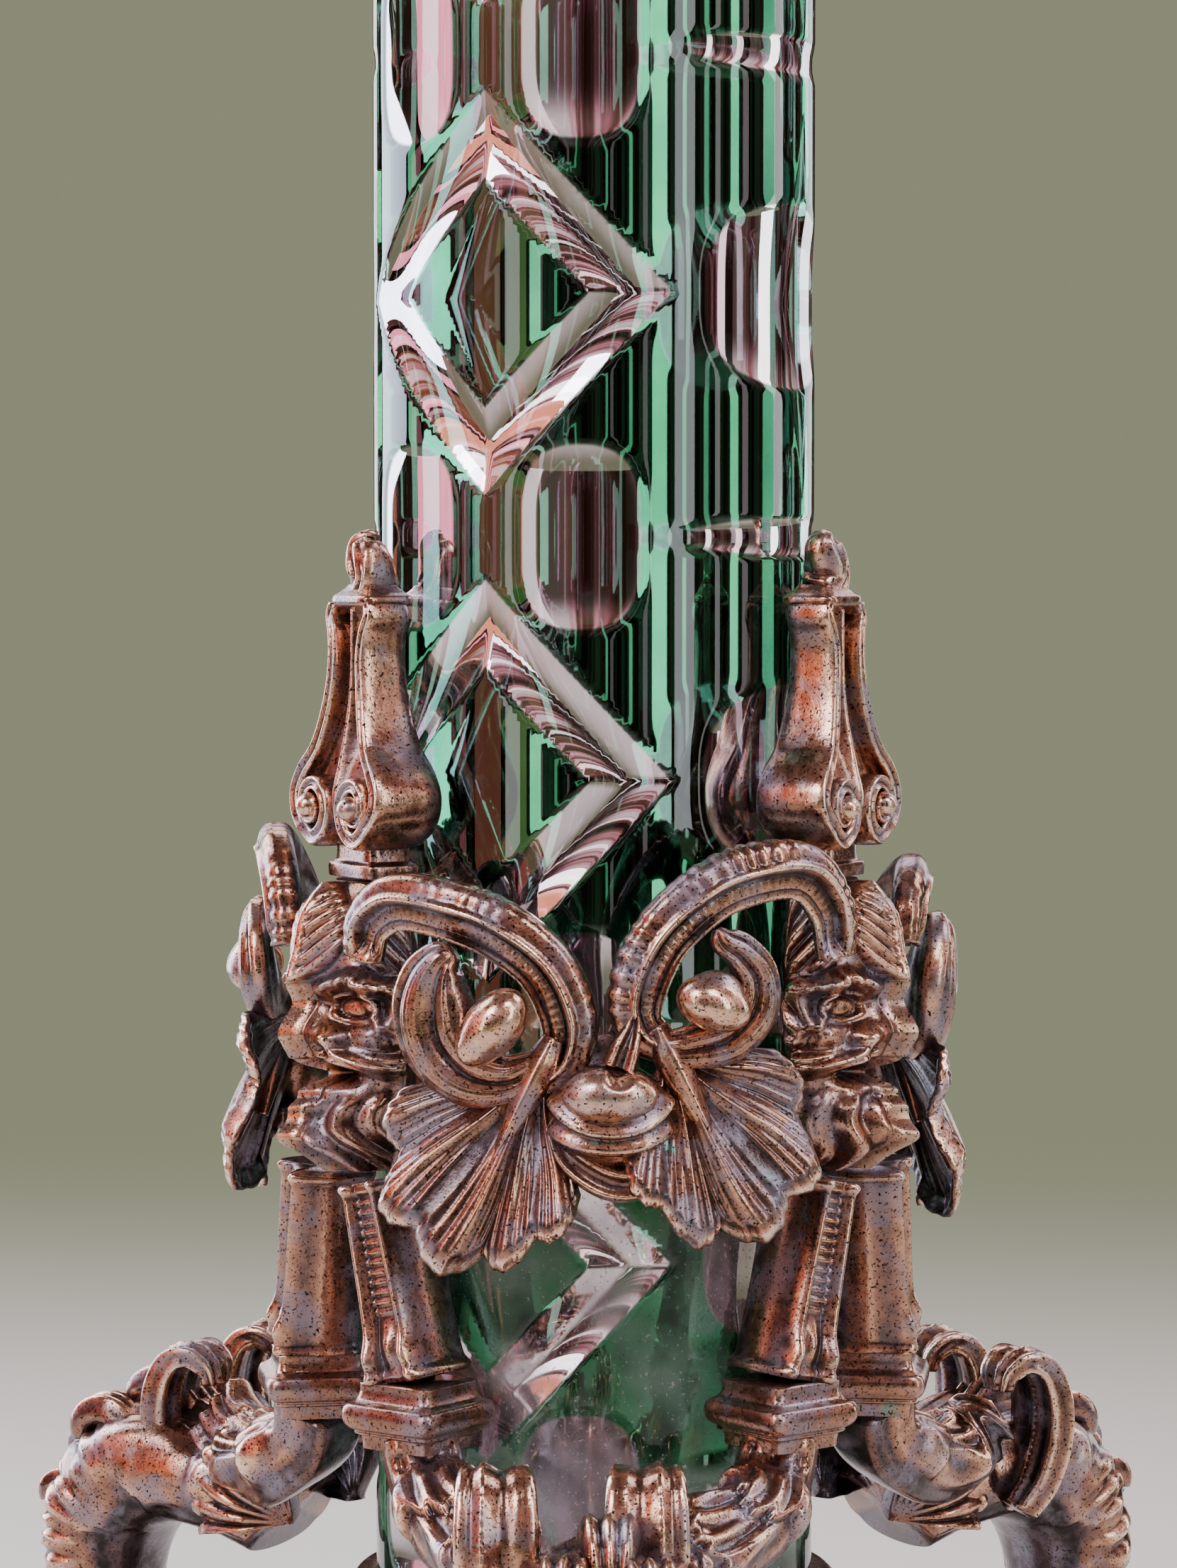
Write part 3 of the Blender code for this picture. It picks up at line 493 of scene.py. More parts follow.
def glass_column(sizes):
    """A thick tube: radius = outer radius less the depth of the cut, over even angles and heights, and a
    plain bore. Normals come from the cut's own slope, so the facets stay crisp between points."""
    around, rows = 288, 322
    low, high = GLASS_LOW.z / MM, GLASS_HIGH.z / MM
    angle = np.linspace(-180, 180, around, endpoint=False)[None]
    height = np.linspace(low, high, rows)[:, None]
    outer = GLASS_RADIUS / MM

    def radius(turn, up):
        rim = np.maximum(0, 1.5 - np.minimum(up - low, high - up))
        return outer - cut_depth(turn, up, sizes) - rim

    r = radius(angle, height)
    turn = np.radians(angle)
    lateral = np.stack([np.sin(turn), -np.cos(turn)], -1)
    skin = np.concatenate([r[..., None] * lateral, np.broadcast_to(height[..., None], (*r.shape, 1))], -1)
    bore_rows = np.array([high, low])[:, None] + 0 * angle
    bore = np.concatenate([(BORE_RADIUS / MM) * np.broadcast_to(lateral, (2, around, 2)),
                           bore_rows[..., None]], -1)
    points = np.concatenate([skin, bore]).reshape(-1, 3) * MM + np.array([AXIS_X, AXIS_Y, 0])
    count = rows + 2
    i, j = np.meshgrid(np.arange(count), np.arange(around), indexing="ij")
    k, m = (j + 1) % around, (i + 1) % count
    faces = np.stack([i * around + j, i * around + k, m * around + k, m * around + j], -1).reshape(-1, 4)
    depth = np.concatenate([outer - r, np.full((2, around), 9.0)])
    mesh = mesh_from("cut_glass_column", points, faces, depth.reshape(-1), "cut_depth")
    on_bore = np.repeat(np.arange(count) == rows, around)
    mesh.polygons.foreach_set("material_index", on_bore.astype(np.int32))

    small_turn, small_up = 0.25, 0.16
    by_turn = (radius(angle + small_turn, height) - radius(angle - small_turn, height)) / (
        2 * math.radians(small_turn))
    by_up = (radius(angle, height + small_up) - radius(angle, height - small_up)) / (2 * small_up)
    sideways = np.stack([np.cos(turn), np.sin(turn)], -1)
    flat = lateral - (by_turn / r)[..., None] * sideways
    normals = unit(np.concatenate([flat, -by_up[..., None]], -1)).reshape(-1, 3)
    inward = np.concatenate([-lateral, np.zeros((1, around, 1))], -1).repeat(2, axis=0).reshape(-1, 3)
    mesh.normals_split_custom_set_from_vertices(np.concatenate([normals, inward]).tolist())
    return mesh


# Chased bronze -----------------------------------------------------------------------------------


def polar(radius, degrees, up):
    """(across, out, up) of a point on the ring at radius, degrees round from the corner's plane."""
    turn = math.radians(degrees)
    return (radius * math.sin(turn), radius * math.cos(turn), up)


def blurred(field, size, wrap=False):
    """The field averaged over size points each way; its second axis may run right round a ring."""
    for axis, mode in ((0, "edge"), (1, "wrap" if wrap else "edge")):
        pad = [(0, 0), (0, 0)]
        pad[axis] = (size + 1, size)
        total = np.cumsum(np.pad(field, pad, mode=mode), axis=axis)
        count = field.shape[axis]
        high = np.take(total, np.arange(2 * size + 1, 2 * size + 1 + count), axis=axis)
        low = np.take(total, np.arange(count), axis=axis)
        field = (high - low) / (2 * size + 1)
    return field


def rubbed_and_shaded(lift, size=5, gain=0.9, base=0.5, wrap=False):
    """Wear and painted shade: brighter where the surface stands above the average round it, as rubbed wear,
    darker where it lies below, as grime and painted shade in the hollow.
    """
    return np.clip(base + gain * (lift - blurred(lift, size, wrap)), 0, 1)


def strap(route, relief=None, face=away, centre=None, front=30, side=8, along=90, squareness=4.0,
          gain=0.9, base=0.5):
    """A chased bar carried along rows of (across, out, up, width, depth), its front turned to face.

    Each ring is a rounded rectangle: |u| ^ n + |v| ^ n = 1, u across the width and v through the depth.
    relief(s, u, v, length) is how far the skin is pushed out of it, in mm, s from 0 to 1 along the bar.
    Where a centre is given, u = 1 is the side that lies away from it."""
    rows = even(route, along)
    path, width, depth = rows[:, :3], rows[:, 3], rows[:, 4]
    length = np.linalg.norm(np.diff(path, axis=0), axis=1).sum()
    forward = unit(np.gradient(path, axis=0))
    front_way = face(path) if callable(face) else np.broadcast_to(np.asarray(face, float), path.shape)
    across = unit(np.cross(forward, front_way))
    front_way = np.cross(across, forward)
    if centre is not None and ((path - centre) * across).sum() < 0:
        across = -across
    u, v = section(front, side, squareness)
    s = np.linspace(0, 1, along)[:, None] + 0 * u
    u, v = u + 0 * s, v + 0 * s
    rings = path[:, None] + across[:, None] * (u * width[:, None] / 2)[..., None] \
        + front_way[:, None] * (v * depth[:, None] / 2)[..., None]
    lift = relief(s, u, v, length) if relief else 0 * s
    lean = unit(across[:, None] * (u * np.abs(u) ** 3)[..., None] + front_way[:, None] * (v * 1.2)[...,
                                                                                                   None])
    rings = rings + lean * lift[..., None]
    wear = rubbed_and_shaded(lift, 4, gain, base, wrap=True)
    # The bar's rounded corners are lighter, rubbed wear; its back is darkened as painted shade where it
    # faces the column or lies underneath.
    wear = np.clip(wear + 0.25 * (np.abs(u) * np.abs(v)) ** 4 - 0.35 * (v < -0.5), 0, 1)
    return tube(rings, wear)


# Masks -------------------------------------------------------------------------------------------


def mask_shape():
    """A horned, bearded goblin of the maker's own: rings at even heights, across = width sin t,
    out = middle + depth cos t, pushed out by the brows, eyes, nose, moustache, beard, forehead leaf and
    the shells over the ears, each a hump or a set of waves in u (mm round from the nose) and height."""
    rows, around = 176, 140
    low, high = height_of("mask_1") + 0.1, height_of("mask_1", True) - 0.1
    z = np.linspace(low, high, rows)[:, None]
    # Points crowd towards the face: t runs from the nose round to the flat back.
    t = np.linspace(-math.pi, math.pi, around, endpoint=False)[None]
    t = t - 0.35 * np.sin(t)
    width = profile(z, [(157, 3.4), (161, 6.5), (166, 8.6), (172, 9.6), (178, 11.4), (184, 12.6),
                        (190, 12.8), (196, 12.2), (202, 11.2), (207, 9.6), (210, 8.4)])
    front = profile(z, [(157, 49), (160, 52.5), (164, 55.5), (169, 55.5), (174, 54), (179, 55.5), (184, 56),
                        (188, 55.5), (192, 57), (197, 57.5), (203, 56.5), (207, 54.0), (210, 51.0)])
    u = np.degrees(t) / 90 * width * 1.28
    side = np.abs(u)
    lift = 0 * u + 0 * z
    # Nose and its wings, muzzle, open mouth and lips.
    lift = lift + profile(z, [(157, 0), (176, 0), (178.5, 1.2), (180.5, 3.6), (182.6, 4.8), (185.5, 4.2),
                              (188.5, 3.0), (191.5, 2.4), (195, 1.0), (199, 0), (210, 0)]) * bell(side, 3.1)
    lift = lift + 3.4 * bell(side - 3.6, 1.6) * bell(z - 182.0, 2.0)
    lift = lift - 1.6 * bell(side - 2.2, 0.8) * bell(z - 180.2, 0.8)
    lift = lift + 2.0 * bell(side, 7.0) * bell(z - 178.2, 1.7)
    lift = lift - 4.2 * bell(side, 5.2) * bell(z - 175.3, 1.35)
    lift = lift + 2.4 * bell(side, 4.2) * bell(z - 172.6, 1.3)
    # Eyes: a ball between two lids in a deep socket, under brows that knit at the nose.
    eye = np.hypot((side - 6.4) / 3.0, (z - 187.4) / 1.75)
    lift = lift - 3.0 * bell(eye, 1.9) + 2.6 * np.maximum(1 - eye**2, 0) ** 0.5
    lift = lift + 1.3 * bell(eye - 1.32, 0.2) * step(side, 2.0, 3.2)
    brow = 190.8 + 2.0 * bell(side - 7.6, 3.6) - 1.0 * bell(side, 3.0)
    hairs = 0.5 * np.sin(side * 3.4 - z * 1.5)
    lift = lift + (3.6 + hairs) * bell(z - brow, 1.45) * (1 - step(side, 11.0, 15.0)) * step(side, 0.6, 2.6)
    # Cheekbones, then a moustache swept out and down.
    lift = lift + 2.0 * bell(side - 9.2, 3.0) * bell(z - 183.0, 2.6)
    lip = 178.6 - 0.42 * (side - 4) + 0.035 * (side - 4) ** 2
    strands = 0.55 * np.sin(3.1 * (z - lip) + 0.9 * side)
    lift = lift + (3.0 + strands) * bell(z - lip, 1.8) * step(side, 2.2, 4.4) * (1 - step(side, 12.5, 16.5))
    # The beard: waved locks that narrow to a point and turn up at their ends.
    wave = np.sin(1.45 * (u + 1.5 * np.sin(z / 2.6)) + 0.4)
    lift = lift + (1.2 * wave + 2.2) * (1 - step(z, 169.5, 173.0)) * bell(side, 9.0)
    lift = lift + 2.2 * bell(side, 3.2) * bell(z - 163.5, 3.4)
    # A leaf rises from between the brows, its tip curled forward, with a smaller one at each side.
    blade = np.clip(1 - (side / np.maximum(6.6 * np.sin(np.clip((z - 192.0) / 17.5, 0, 1) * math.pi) ** 0.8,
                                          0.01)) ** 2, 0, 1)
    veins = 0.55 * np.cos(2.6 * (side * 1.1 - 0.9 * (z - 192)))
    lift = lift + np.sqrt(blade) * (3.4 + veins * step(side, 0.5, 1.4)) + 1.1 * blade * bell(side, 0.7)
    # Shells behind the cheeks: ribs that fan from below the eye, with a raised scalloped rim.
    fan_u, fan_z = side - 11.5, z - 181.5
    reach = np.hypot(fan_u, fan_z)
    fan = np.arctan2(fan_z, fan_u + 1e-9)
    inside = (step(reach, 1.0, 3.0) * (1 - step(reach, 10.5, 12.0)) * step(fan, -0.5, -0.1)
              * (1 - step(fan, 1.9, 2.2)))
    lift = lift + inside * (1.7 + 0.8 * np.cos(fan * 10.0) * step(reach, 2.0,
                                                                  6.0) + 0.9 * bell(reach - 9.8, 1.2))
    # Locks of hair over the temple.
    temple = step(side, 9.0, 11.5) * step(z, 193.0, 196.0)
    lift = lift + temple * 0.9 * (1 + np.sin(1.9 * (z * 0.8 + side * 0.9)))
    ease = np.clip(np.cos(t) * 1.6 + 0.9, 0, 1)
    lift = lift * ease
    middle = 46.0
    facing = np.cos(t)
    out = middle + np.where(facing > 0, (front - middle) * facing, 3.9 * facing)
    skin = np.stack([width * np.sin(t), out, z + 0 * t], -1)
    lean = unit(np.stack([np.sin(t) + 0 * z, np.maximum(facing, 0) + 0 * z, 0 * t + 0 * z], -1))
    rings = skin + lean * lift[..., None]
    near = np.hypot(rings[..., 0], rings[..., 1])
    push = np.maximum(near, 41.2) / np.maximum(near, 1e-6)
    rings[..., :2] *= push[..., None]
    return tube(rings, rubbed_and_shaded(lift, 4, 0.42, 0.55, wrap=True))


# Finials -----------------------------------------------------------------------------------------


def finial_shapes():
    """A lyre of two straps about a ribbed tongue, standing on a block, with a cap and a flame above.

    The core is rings of half-width w(z); each strap follows the outline, then winds into a volute whose
    radius falls evenly with its turn."""
    middle, low = 46.0, height_of("finial_1")
    shapes = []
    # The foot: a moulded block.
    shapes.append(moulded_block((0, middle, low), (8.2, 5.4), [
        (0.1, 1.0), (2.2, 1.0), (2.8, 0.86), (3.6, 0.82), (5.6, 0.82), (6.2, 0.9), (7.6, 1.12),
                                                               (8.6, 1.2)]))
    # The core: swelling between the straps, a raised rib down its middle.
    z = np.linspace(low + 7.2, low + 47.5, 90)[:, None]
    half = profile(z - low, [(7, 8.0), (10, 12.2), (13, 14.0), (16, 13.8), (19, 11.8), (23, 8.7), (28, 6.4),
                             (34, 4.9), (40, 4.4), (44, 4.9), (48, 4.6)])
    u, v = section(44, 10, 3.2)
    across = half * u
    rib = 1.5 * bell(across, 1.15) * (1 - step(np.abs(u), 0.5, 0.8))
    hollow = -1.6 * bell(np.abs(u) - 0.42, 0.24)
    bulb = profile(z - low, [(7, 4.4), (11, 6.4), (15, 6.8), (20, 5.6), (28, 3.9), (36, 3.1), (48, 3.0)])
    rings = np.stack([across + 0 * z, middle + bulb * v + np.where(v > 0.1, rib + hollow, 0), z + 0 * u],
                     -1)
    shapes.append(tube(rings, rubbed_and_shaded(rib + hollow + 0 * z, 3, 0.5, 0.52, wrap=True)))
    # Straps and volutes.
    for hand in (-1, 1):
        start = np.array([hand * 7.6, low + 12.6])
        turn = np.linspace(2.6 * math.pi, 0, 26)
        reach = 1.0 + 4.6 * (1 - turn / (2.6 * math.pi)) ** 0.9
        spiral = np.stack([start[0] + hand * reach * np.sin(turn + math.pi),
                           start[1] + reach * np.cos(turn + math.pi)], -1)
        outline = np.array([(10.8, 8.8), (13.9, 11.6), (14.6, 15.2), (12.6, 18.8), (9.4, 22.4), (7.3, 27),
                            (5.7, 33),
                            (5.0, 39), (5.7, 43.5), (6.9, 46.2), (6.4, 48.2)]) * [hand, 1] + [0, low]
        line = np.concatenate([spiral, outline])
        size = np.concatenate([np.linspace(1.6, 3.4, len(spiral)), np.linspace(3.6, 2.2, len(outline))])
        stand_out = np.concatenate([np.linspace(5.4, 2.4, len(spiral)),
                                    np.linspace(1.6, 0.8, len(outline))])
        deep = np.concatenate([np.linspace(7.0, 12.5, len(spiral)),
                               np.interp(np.arange(len(outline)), [0, 3, 6, 10], [14.5, 13.0, 9.5, 8.0])])
        route = np.column_stack([line[:, 0], middle + stand_out, line[:, 1], size, deep])

        def groove(s, u, v, length):
            return np.where(v > 0, 0.45 * bell(np.abs(u) - 0.7, 0.25) - 0.5 * bell(u, 0.42), 0)

        shapes.append(strap(route, groove, face=(0, 1, 0), front=14, side=7, along=150, base=0.58))
        shapes.append(boss((start[0], middle + 8.4, start[1]), (2.3, 2.8, 2.3), wear=0.85, rows=18,
                           around=28))
    # The cap and the flame.
    shapes.append(moulded_block((0, middle, low + 46.6), (5.6, 4.4), [
        (0.0, 0.72), (0.8, 0.9), (1.8, 1.16), (3.0, 1.18), (3.8, 0.98), (4.6, 0.8), (5.2, 0.7)]))
    flame = [(0.2, middle, low + 51.0, 7.4, 6.6), (1.2, middle + 0.4, low + 53.5, 6.8, 6.6),
             (0.2, middle + 0.8, low + 56.2, 7.4, 6.4), (-1.2, middle + 0.6, low + 58.6, 5.6, 5.2),
             (-0.4, middle + 0.2, low + 60.3, 3.0, 3.2), (0.6, middle, low + 60.9, 1.2, 1.6)]

    def licks(s, u, v, length):
        return 0.55 * np.sin(9 * u + 7 * s) * (1 - s) + 0.5 * bell(np.abs(u) - 0.5, 0.2)

    shapes.append(strap(flame, licks, face=(0, 1, 0), front=22, side=8, along=44, squareness=2.6,
                        base=0.62))
    return shapes


def moulded_block(place, half, levels, power=7.0, around=72, lean=None):
    """A square block with mouldings: rounded-square rings, half-sizes scaled at each (height, scale)."""
    levels = np.asarray(levels, float)
    fine = even(np.column_stack([levels[:, 1] * max(half), 0 * levels[:, 0], levels[:, 0]]),
                9 * len(levels))
    scale, z = fine[:, 0] / max(half), fine[:, 2]
    u, v = section(around // 4, around // 4, power)
    rings = np.stack([
        place[0] + half[0] * scale[:, None] * u, place[1] + half[1] * scale[:, None] * v,
        place[2] + z[:, None] + 0 * u], -1)
    # Edges that stand out are lighter as rubbed wear; the hollows of the mouldings are darker, grime and
    # painted shade.
    edge = np.clip(0.45 + 1.3 * (scale - np.convolve(np.pad(scale, 4, mode="edge"), np.ones(9) / 9,
                                                     "valid")) * 4,
                   0.1, 1)
    wear = edge[:, None] + 0.22 * (np.abs(u * v)) ** 3
    if lean is not None:
        rings = lean(rings)
    return tube(rings, wear)


# Horns -------------------------------------------------------------------------------------------


def horn_shapes(hand):
    """A ram's horn carried round a curl: the outer half of its front is a band of cross ridges about
    2.3 mm apart, a rubbed cord divides it from a hollow inner band scored with fine lines."""
    lift = 0.0 if hand < 0 else 6.0
    rows = [(45.5, 197, 8, 5), (44, 203 + 0.4 * lift, 9, 6), (38, 207 + 0.8 * lift, 10, 6.4),
            (29, 206.5 + lift, 10.6, 7), (19, 203.5 + lift, 10.8, 7), (10, 197 + 0.8 * lift, 10.6, 7),
            (5.8, 188 + 0.7 * lift, 10, 6.6), (6.6, 181 + 0.9 * lift, 8.4, 6),
            (10.5, 177.5 + lift, 6.8, 5.4), (14.5, 177 + lift, 4.6, 4.4)]
    route = [polar(57.8, hand * degrees, up) + (width, depth) for degrees, up, width, depth in rows]
    centre = np.array(polar(57.8, hand * 24, 191 + lift))

    def chasing(s, u, v, length):
        run = s * length
        lump = 0.5 + 0.5 * np.cos(2 * math.pi * (run / 2.5 + 0.22 * np.sin(run * 0.61)))
        band = step(u, 0.28, 0.42) * step(v, -0.75, -0.35)
        strong = 0.14 if hand < 0 else 0.46
        ridges = band * strong * (step(lump, 0.15, 0.75) - 0.4) * (0.55 + 0.45 * np.sin(run * 0.23 + 1.0))
        cord = 0.9 * bell(u - 0.16, 0.14) * (v > 0)
        inner = (1 - step(u, -0.15, 0.05)) * step(v, 0.0, 0.4)
        scores = -inner * (2.1 + 0.05 * np.cos(2 * math.pi * run / 1.6 + 2 * u))
        fade = step(s, 0.0, 0.05) * (1 - 0.5 * step(s, 0.85, 1.0))
        return (ridges + cord + scores) * fade

    return [strap(route, chasing, centre=centre, front=36, side=10, along=176, squareness=2.8, gain=0.75,
                  base=0.52)]


# Leaves ------------------------------------------------------------------------------------------


LEAF_RADIUS = 58.0                # mm, the circle that distances across a leaf are measured along
CURL_RADIUS = 60.0                # the same for the curls and their berries


def leaf_shapes(hand):
    """A five-lobed leaf spread from its root. Direction and length run smoothly from lobe to lobe; each
    lobe is a pillow with a rib down its middle and a crease at each side, combed with fine lines
    towards a wavy edge that flares out and rolls under."""
    root = np.array([-9.5, 182.0] if hand < 0 else [10.2, 184.0])
    # Each lobe's rib: degrees from straight down, and its length in mm.
    ribs = np.array([(-4, 30), (10, 37), (23, 40.5), (43, 37.5), (62, 30)] if hand < 0 else
                    [(-11, 25), (8, 35), (24, 37), (45, 34), (69, 24)], float)
    main = 24.0
    rows, columns = 54, 171
    s = np.linspace(0, 1, rows)[:, None]
    place = np.linspace(-0.5, len(ribs) - 0.5, columns)[None]
    number = np.clip(np.round(place), 0, len(ribs) - 1)
    within = place - number
    pillow = np.cos(math.pi * np.clip(within, -0.5, 0.5)) ** 2
    stops = np.concatenate([[-0.5], np.arange(len(ribs)), [len(ribs) - 0.5]])
    ends = np.vstack([1.5 * ribs[0] - 0.5 * ribs[1], ribs, 1.5 * ribs[-1] - 0.5 * ribs[-2]])
    direction, length = (np.interp(place, stops, column) for column in ends.T)
    length = (length * (1 - 0.09 * (2 * np.abs(within)) ** 2.4)
              + 0.4 * np.abs(np.sin(math.pi * (within * 4 + 0.5))))
    # The ribs leave the root close together and bend apart.
    turn = np.radians(main + (direction - main) * (0.62 + 0.46 * step(s, -0.1, 0.7)))
    turn = turn + 0.05 * np.sin(3.0 * s) * np.sin(number * 2.3)
    along = s**0.95 * length
    across = root[0] + hand * along * np.sin(turn)
    up = root[1] - along * np.cos(turn)
    grow = step(s, 0.02, 0.40)
    comb = (0.17 * np.cos(2 * math.pi * (within * 6.0 + 0.4 * s)) * step(s, 0.35, 0.75)
            * (1 - bell(within, 0.07)))
    rib = 1.0 * bell(within, 0.05) * (1 - 0.85 * s) * step(s, 0.08, 0.25)
    crease = (1 - pillow) ** 3
    dish = -0.25 * bell(np.abs(within) - 0.22, 0.13) * step(s, 0.3, 0.6)
    lift = grow * (1.5 * pillow**0.8 - 0.2 * crease) + dish + comb + rib + 0.9 * bell(s - 0.965, 0.03)
    wavy = 2.2 * np.sin(2 * math.pi * place * 0.45 + 0.8) * s**2
    flare = 9.5 * s**2.2 - 3.6 * step(s, 0.86, 1.0) ** 1.6
    spread = (place - 2.0) / 2.5
    out = 58.4 + flare + wavy - 2.6 * spread**2 * s + 2.4 * np.sin(math.pi * s) * (1 - spread**2) + lift
    bend = across / LEAF_RADIUS
    front = np.stack([out * np.sin(bend), out * np.cos(bend), up], -1)
    edge = np.minimum(np.minimum(s, 1 - s) * 14, (0.5 - np.abs(place - 2.0) / len(ribs)) * 26)
    thick = (1.5 + 0.5 * (1 - s)) * np.clip(edge, 0.06, 1) ** 0.5
    inner = out - thick - np.clip(lift, -1, 2) * 0.5
    back = np.stack([inner * np.sin(bend), inner * np.cos(bend), up], -1)
    # Lifted parts, tips and ribs are lighter as rubbed wear; the creases are darker, grime and painted
    # shade.
    wear = np.clip(rubbed_and_shaded(lift + 0 * out, 4, 0.50, 0.46) + 0.40 * bell(s - 0.97, 0.035) + 0.25 * rib
                   - 0.25 * crease * (1 - 0.5 * s), 0, 1)
    lean = math.radians(main)
    stem = []
    for gone, wide, deep in ((-3.0, 4.0, 3.4), (2.0, 6.0, 5.0), (8.0, 5.4, 5.0), (15.0, 3.4, 4.0),
                             (23.0, 1.4, 2.0)):
        turned_by = (root[0] + hand * gone * math.sin(lean)) / LEAF_RADIUS
        reach = 59.4 + 0.12 * gone
        stem.append((reach * math.sin(turned_by), reach * math.cos(turned_by),
                     root[1] - gone * math.cos(lean), wide, deep))
    return [sheet(front, back, wear + 0 * out),
            strap(stem, lambda s, u, v, length: step(v, 0, 0.5) * 0.5 * bell(u, 0.35), front=20, side=8,
                  along=50, squareness=2.2, base=0.6)]


def curl_shapes(hand):
    """A folded leaf that wraps three quarters of the way round a smooth, pointed berry."""
    if hand < 0:
        rows = [(-11.5, 59.4, 180.6, 4.6, 4.0), (-16.5, 60.4, 178.2, 8.4, 6.0),
                (-22.2, 61.0, 179.2, 12.4, 8.0),
                (-27.0, 61.2, 183.4, 15.0, 9.0), (-28.8, 61.6, 189.0, 15.4, 9.0),
                (-28.4, 62.4, 194.2, 12.4, 8.0),
                (-26.8, 63.0, 197.8, 8.0, 6.4), (-25.0, 62.6, 199.4, 3.4, 4.0)]
        berry, radii, tilt = (-17.6, 64.4, 187.4), (4.9, 5.4, 7.2), -40
    else:
        rows = [(9.6, 59.4, 183.4, 4.4, 4.0), (14.6, 60.4, 183.6, 7.0, 5.6), (20.6, 61.0, 185.0, 9.2, 6.6),
                (25.4, 61.2, 189.4, 9.8, 6.8), (25.9, 61.8, 195.0, 8.0, 6.0), (23.0, 62.4, 199.2, 6.2, 5.0),
                (20.0, 62.6, 201.4, 4.6, 4.2), (19.0, 62.2, 203.4, 1.8, 2.4)]
        berry, radii, tilt = (17.8, 64.2, 190.8), (6.8, 5.2, 4.6), 20
    rows = [(math.sin(x / CURL_RADIUS) * r, math.cos(x / CURL_RADIUS) * r, z, w, d)
            for x, r, z, w, d in rows]
    bend = berry[0] / CURL_RADIUS
    centre = np.array((math.sin(bend) * berry[1], math.cos(bend) * berry[1], berry[2]))

    def folds(s, u, v, length):
        front = step(v, 0.0, 0.6)
        wide = np.sin(math.pi * np.clip(s, 0, 1)) ** 0.5
        # Round folds with a crease between each two, sliding across the leaf as it turns.
        fold = np.abs(np.cos(math.pi * (u * 1.0 + 0.75 * s + 0.15))) ** 0.6 - 0.70
        lines = 0.06 * np.cos(2 * math.pi * (u * 6 + 2.5 * s))
        return front * wide * (2.3 * fold + lines) + 0.7 * bell(u - 0.95, 0.12) * wide

    shapes = [strap(rows, folds, centre=centre, front=46, side=10, along=90, squareness=2.2, gain=0.6,
                    base=0.5)]
    out = np.array([centre[0], centre[1], 0]) / math.hypot(centre[0], centre[1])
    side = np.array([out[1], -out[0], 0])
    tall = np.array([0, 0, 1.0])
    sign = 1 if hand < 0 else -1
    turn = math.radians(tilt)
    across = side * math.cos(turn) + sign * tall * math.sin(turn)
    rise = -sign * side * math.sin(turn) + tall * math.cos(turn)

    def point(latitude, around):
        return 1.3 * bell(latitude - (-1.4 if hand < 0 else 1.5), 0.5), 0.80 + 0 * latitude

    shapes.append(boss(centre, radii, np.stack([across, out, rise]), point, 36, 52))
    return shapes


def bud_shapes():
    """A kidney-shaped berry in a round cup whose two lips follow it, a small leaf standing above and a
    ragged one hanging below."""
    mid = 59.0
    leaf = [(2.6, mid + 3.4, 180.4, 6.0, 4.2), (3.6, mid + 3.6, 183.4, 5.2, 3.8),
            (4.6, mid + 3.0, 186.2, 3.4, 3.0), (5.2, mid + 2.0, 188.4, 1.4, 1.8)]
    tail = [(-8.5, mid + 0.6, 170.0, 3.0, 3.0), (-5.4, mid + 2.2, 164.4, 5.0, 4.0),
            (0.6, mid + 3.4, 160.6, 6.0, 4.4),
            (6.2, mid + 3.6, 160.4, 5.0, 4.0), (9.8, mid + 2.6, 162.8, 1.6, 2.4)]

    def ridge(s, u, v, length):
        return step(v, 0, 0.5) * (0.8 * bell(np.abs(u) - 0.62, 0.22) - 0.6 * bell(u, 0.4))

    def lips(latitude, around):
        across, up = np.cos(latitude) * np.cos(around), np.sin(latitude)
        from_berry = np.hypot(across * 10.6 / 8.4, (up * 9.2 - 4.6) / 5.6)
        front = step(np.cos(latitude) * np.sin(around), -0.1, 0.3)
        lift = front * (1.3 * bell(from_berry - 1.22, 0.10) + 1.0 * bell(from_berry - 1.72, 0.13)
                        - 0.7 * bell(from_berry - 1.46, 0.10))
        return lift, np.clip(0.46 + 0.35 * lift, 0, 1)

    def waist(latitude, around):
        hollow = (-1.5 * bell(np.cos(latitude) * np.cos(around) - 0.18, 0.22)
                  * step(np.sin(latitude), 0.1, 0.8))
        return hollow, 0.82 + 0 * hollow

    return [boss((1.2, mid + 1.0, 171.6), (10.6, 7.6, 9.2), None, lips, 48, 76),
            boss((1.0, mid + 6.2, 175.8), (8.2, 5.0, 4.8), None, waist, 40, 64),
            strap(leaf, ridge, front=18, along=40, squareness=2.6, base=0.5),
            strap(tail, ridge, front=22, along=60, squareness=2.4, base=0.5)]


# Pilasters ---------------------------------------------------------------------------------------


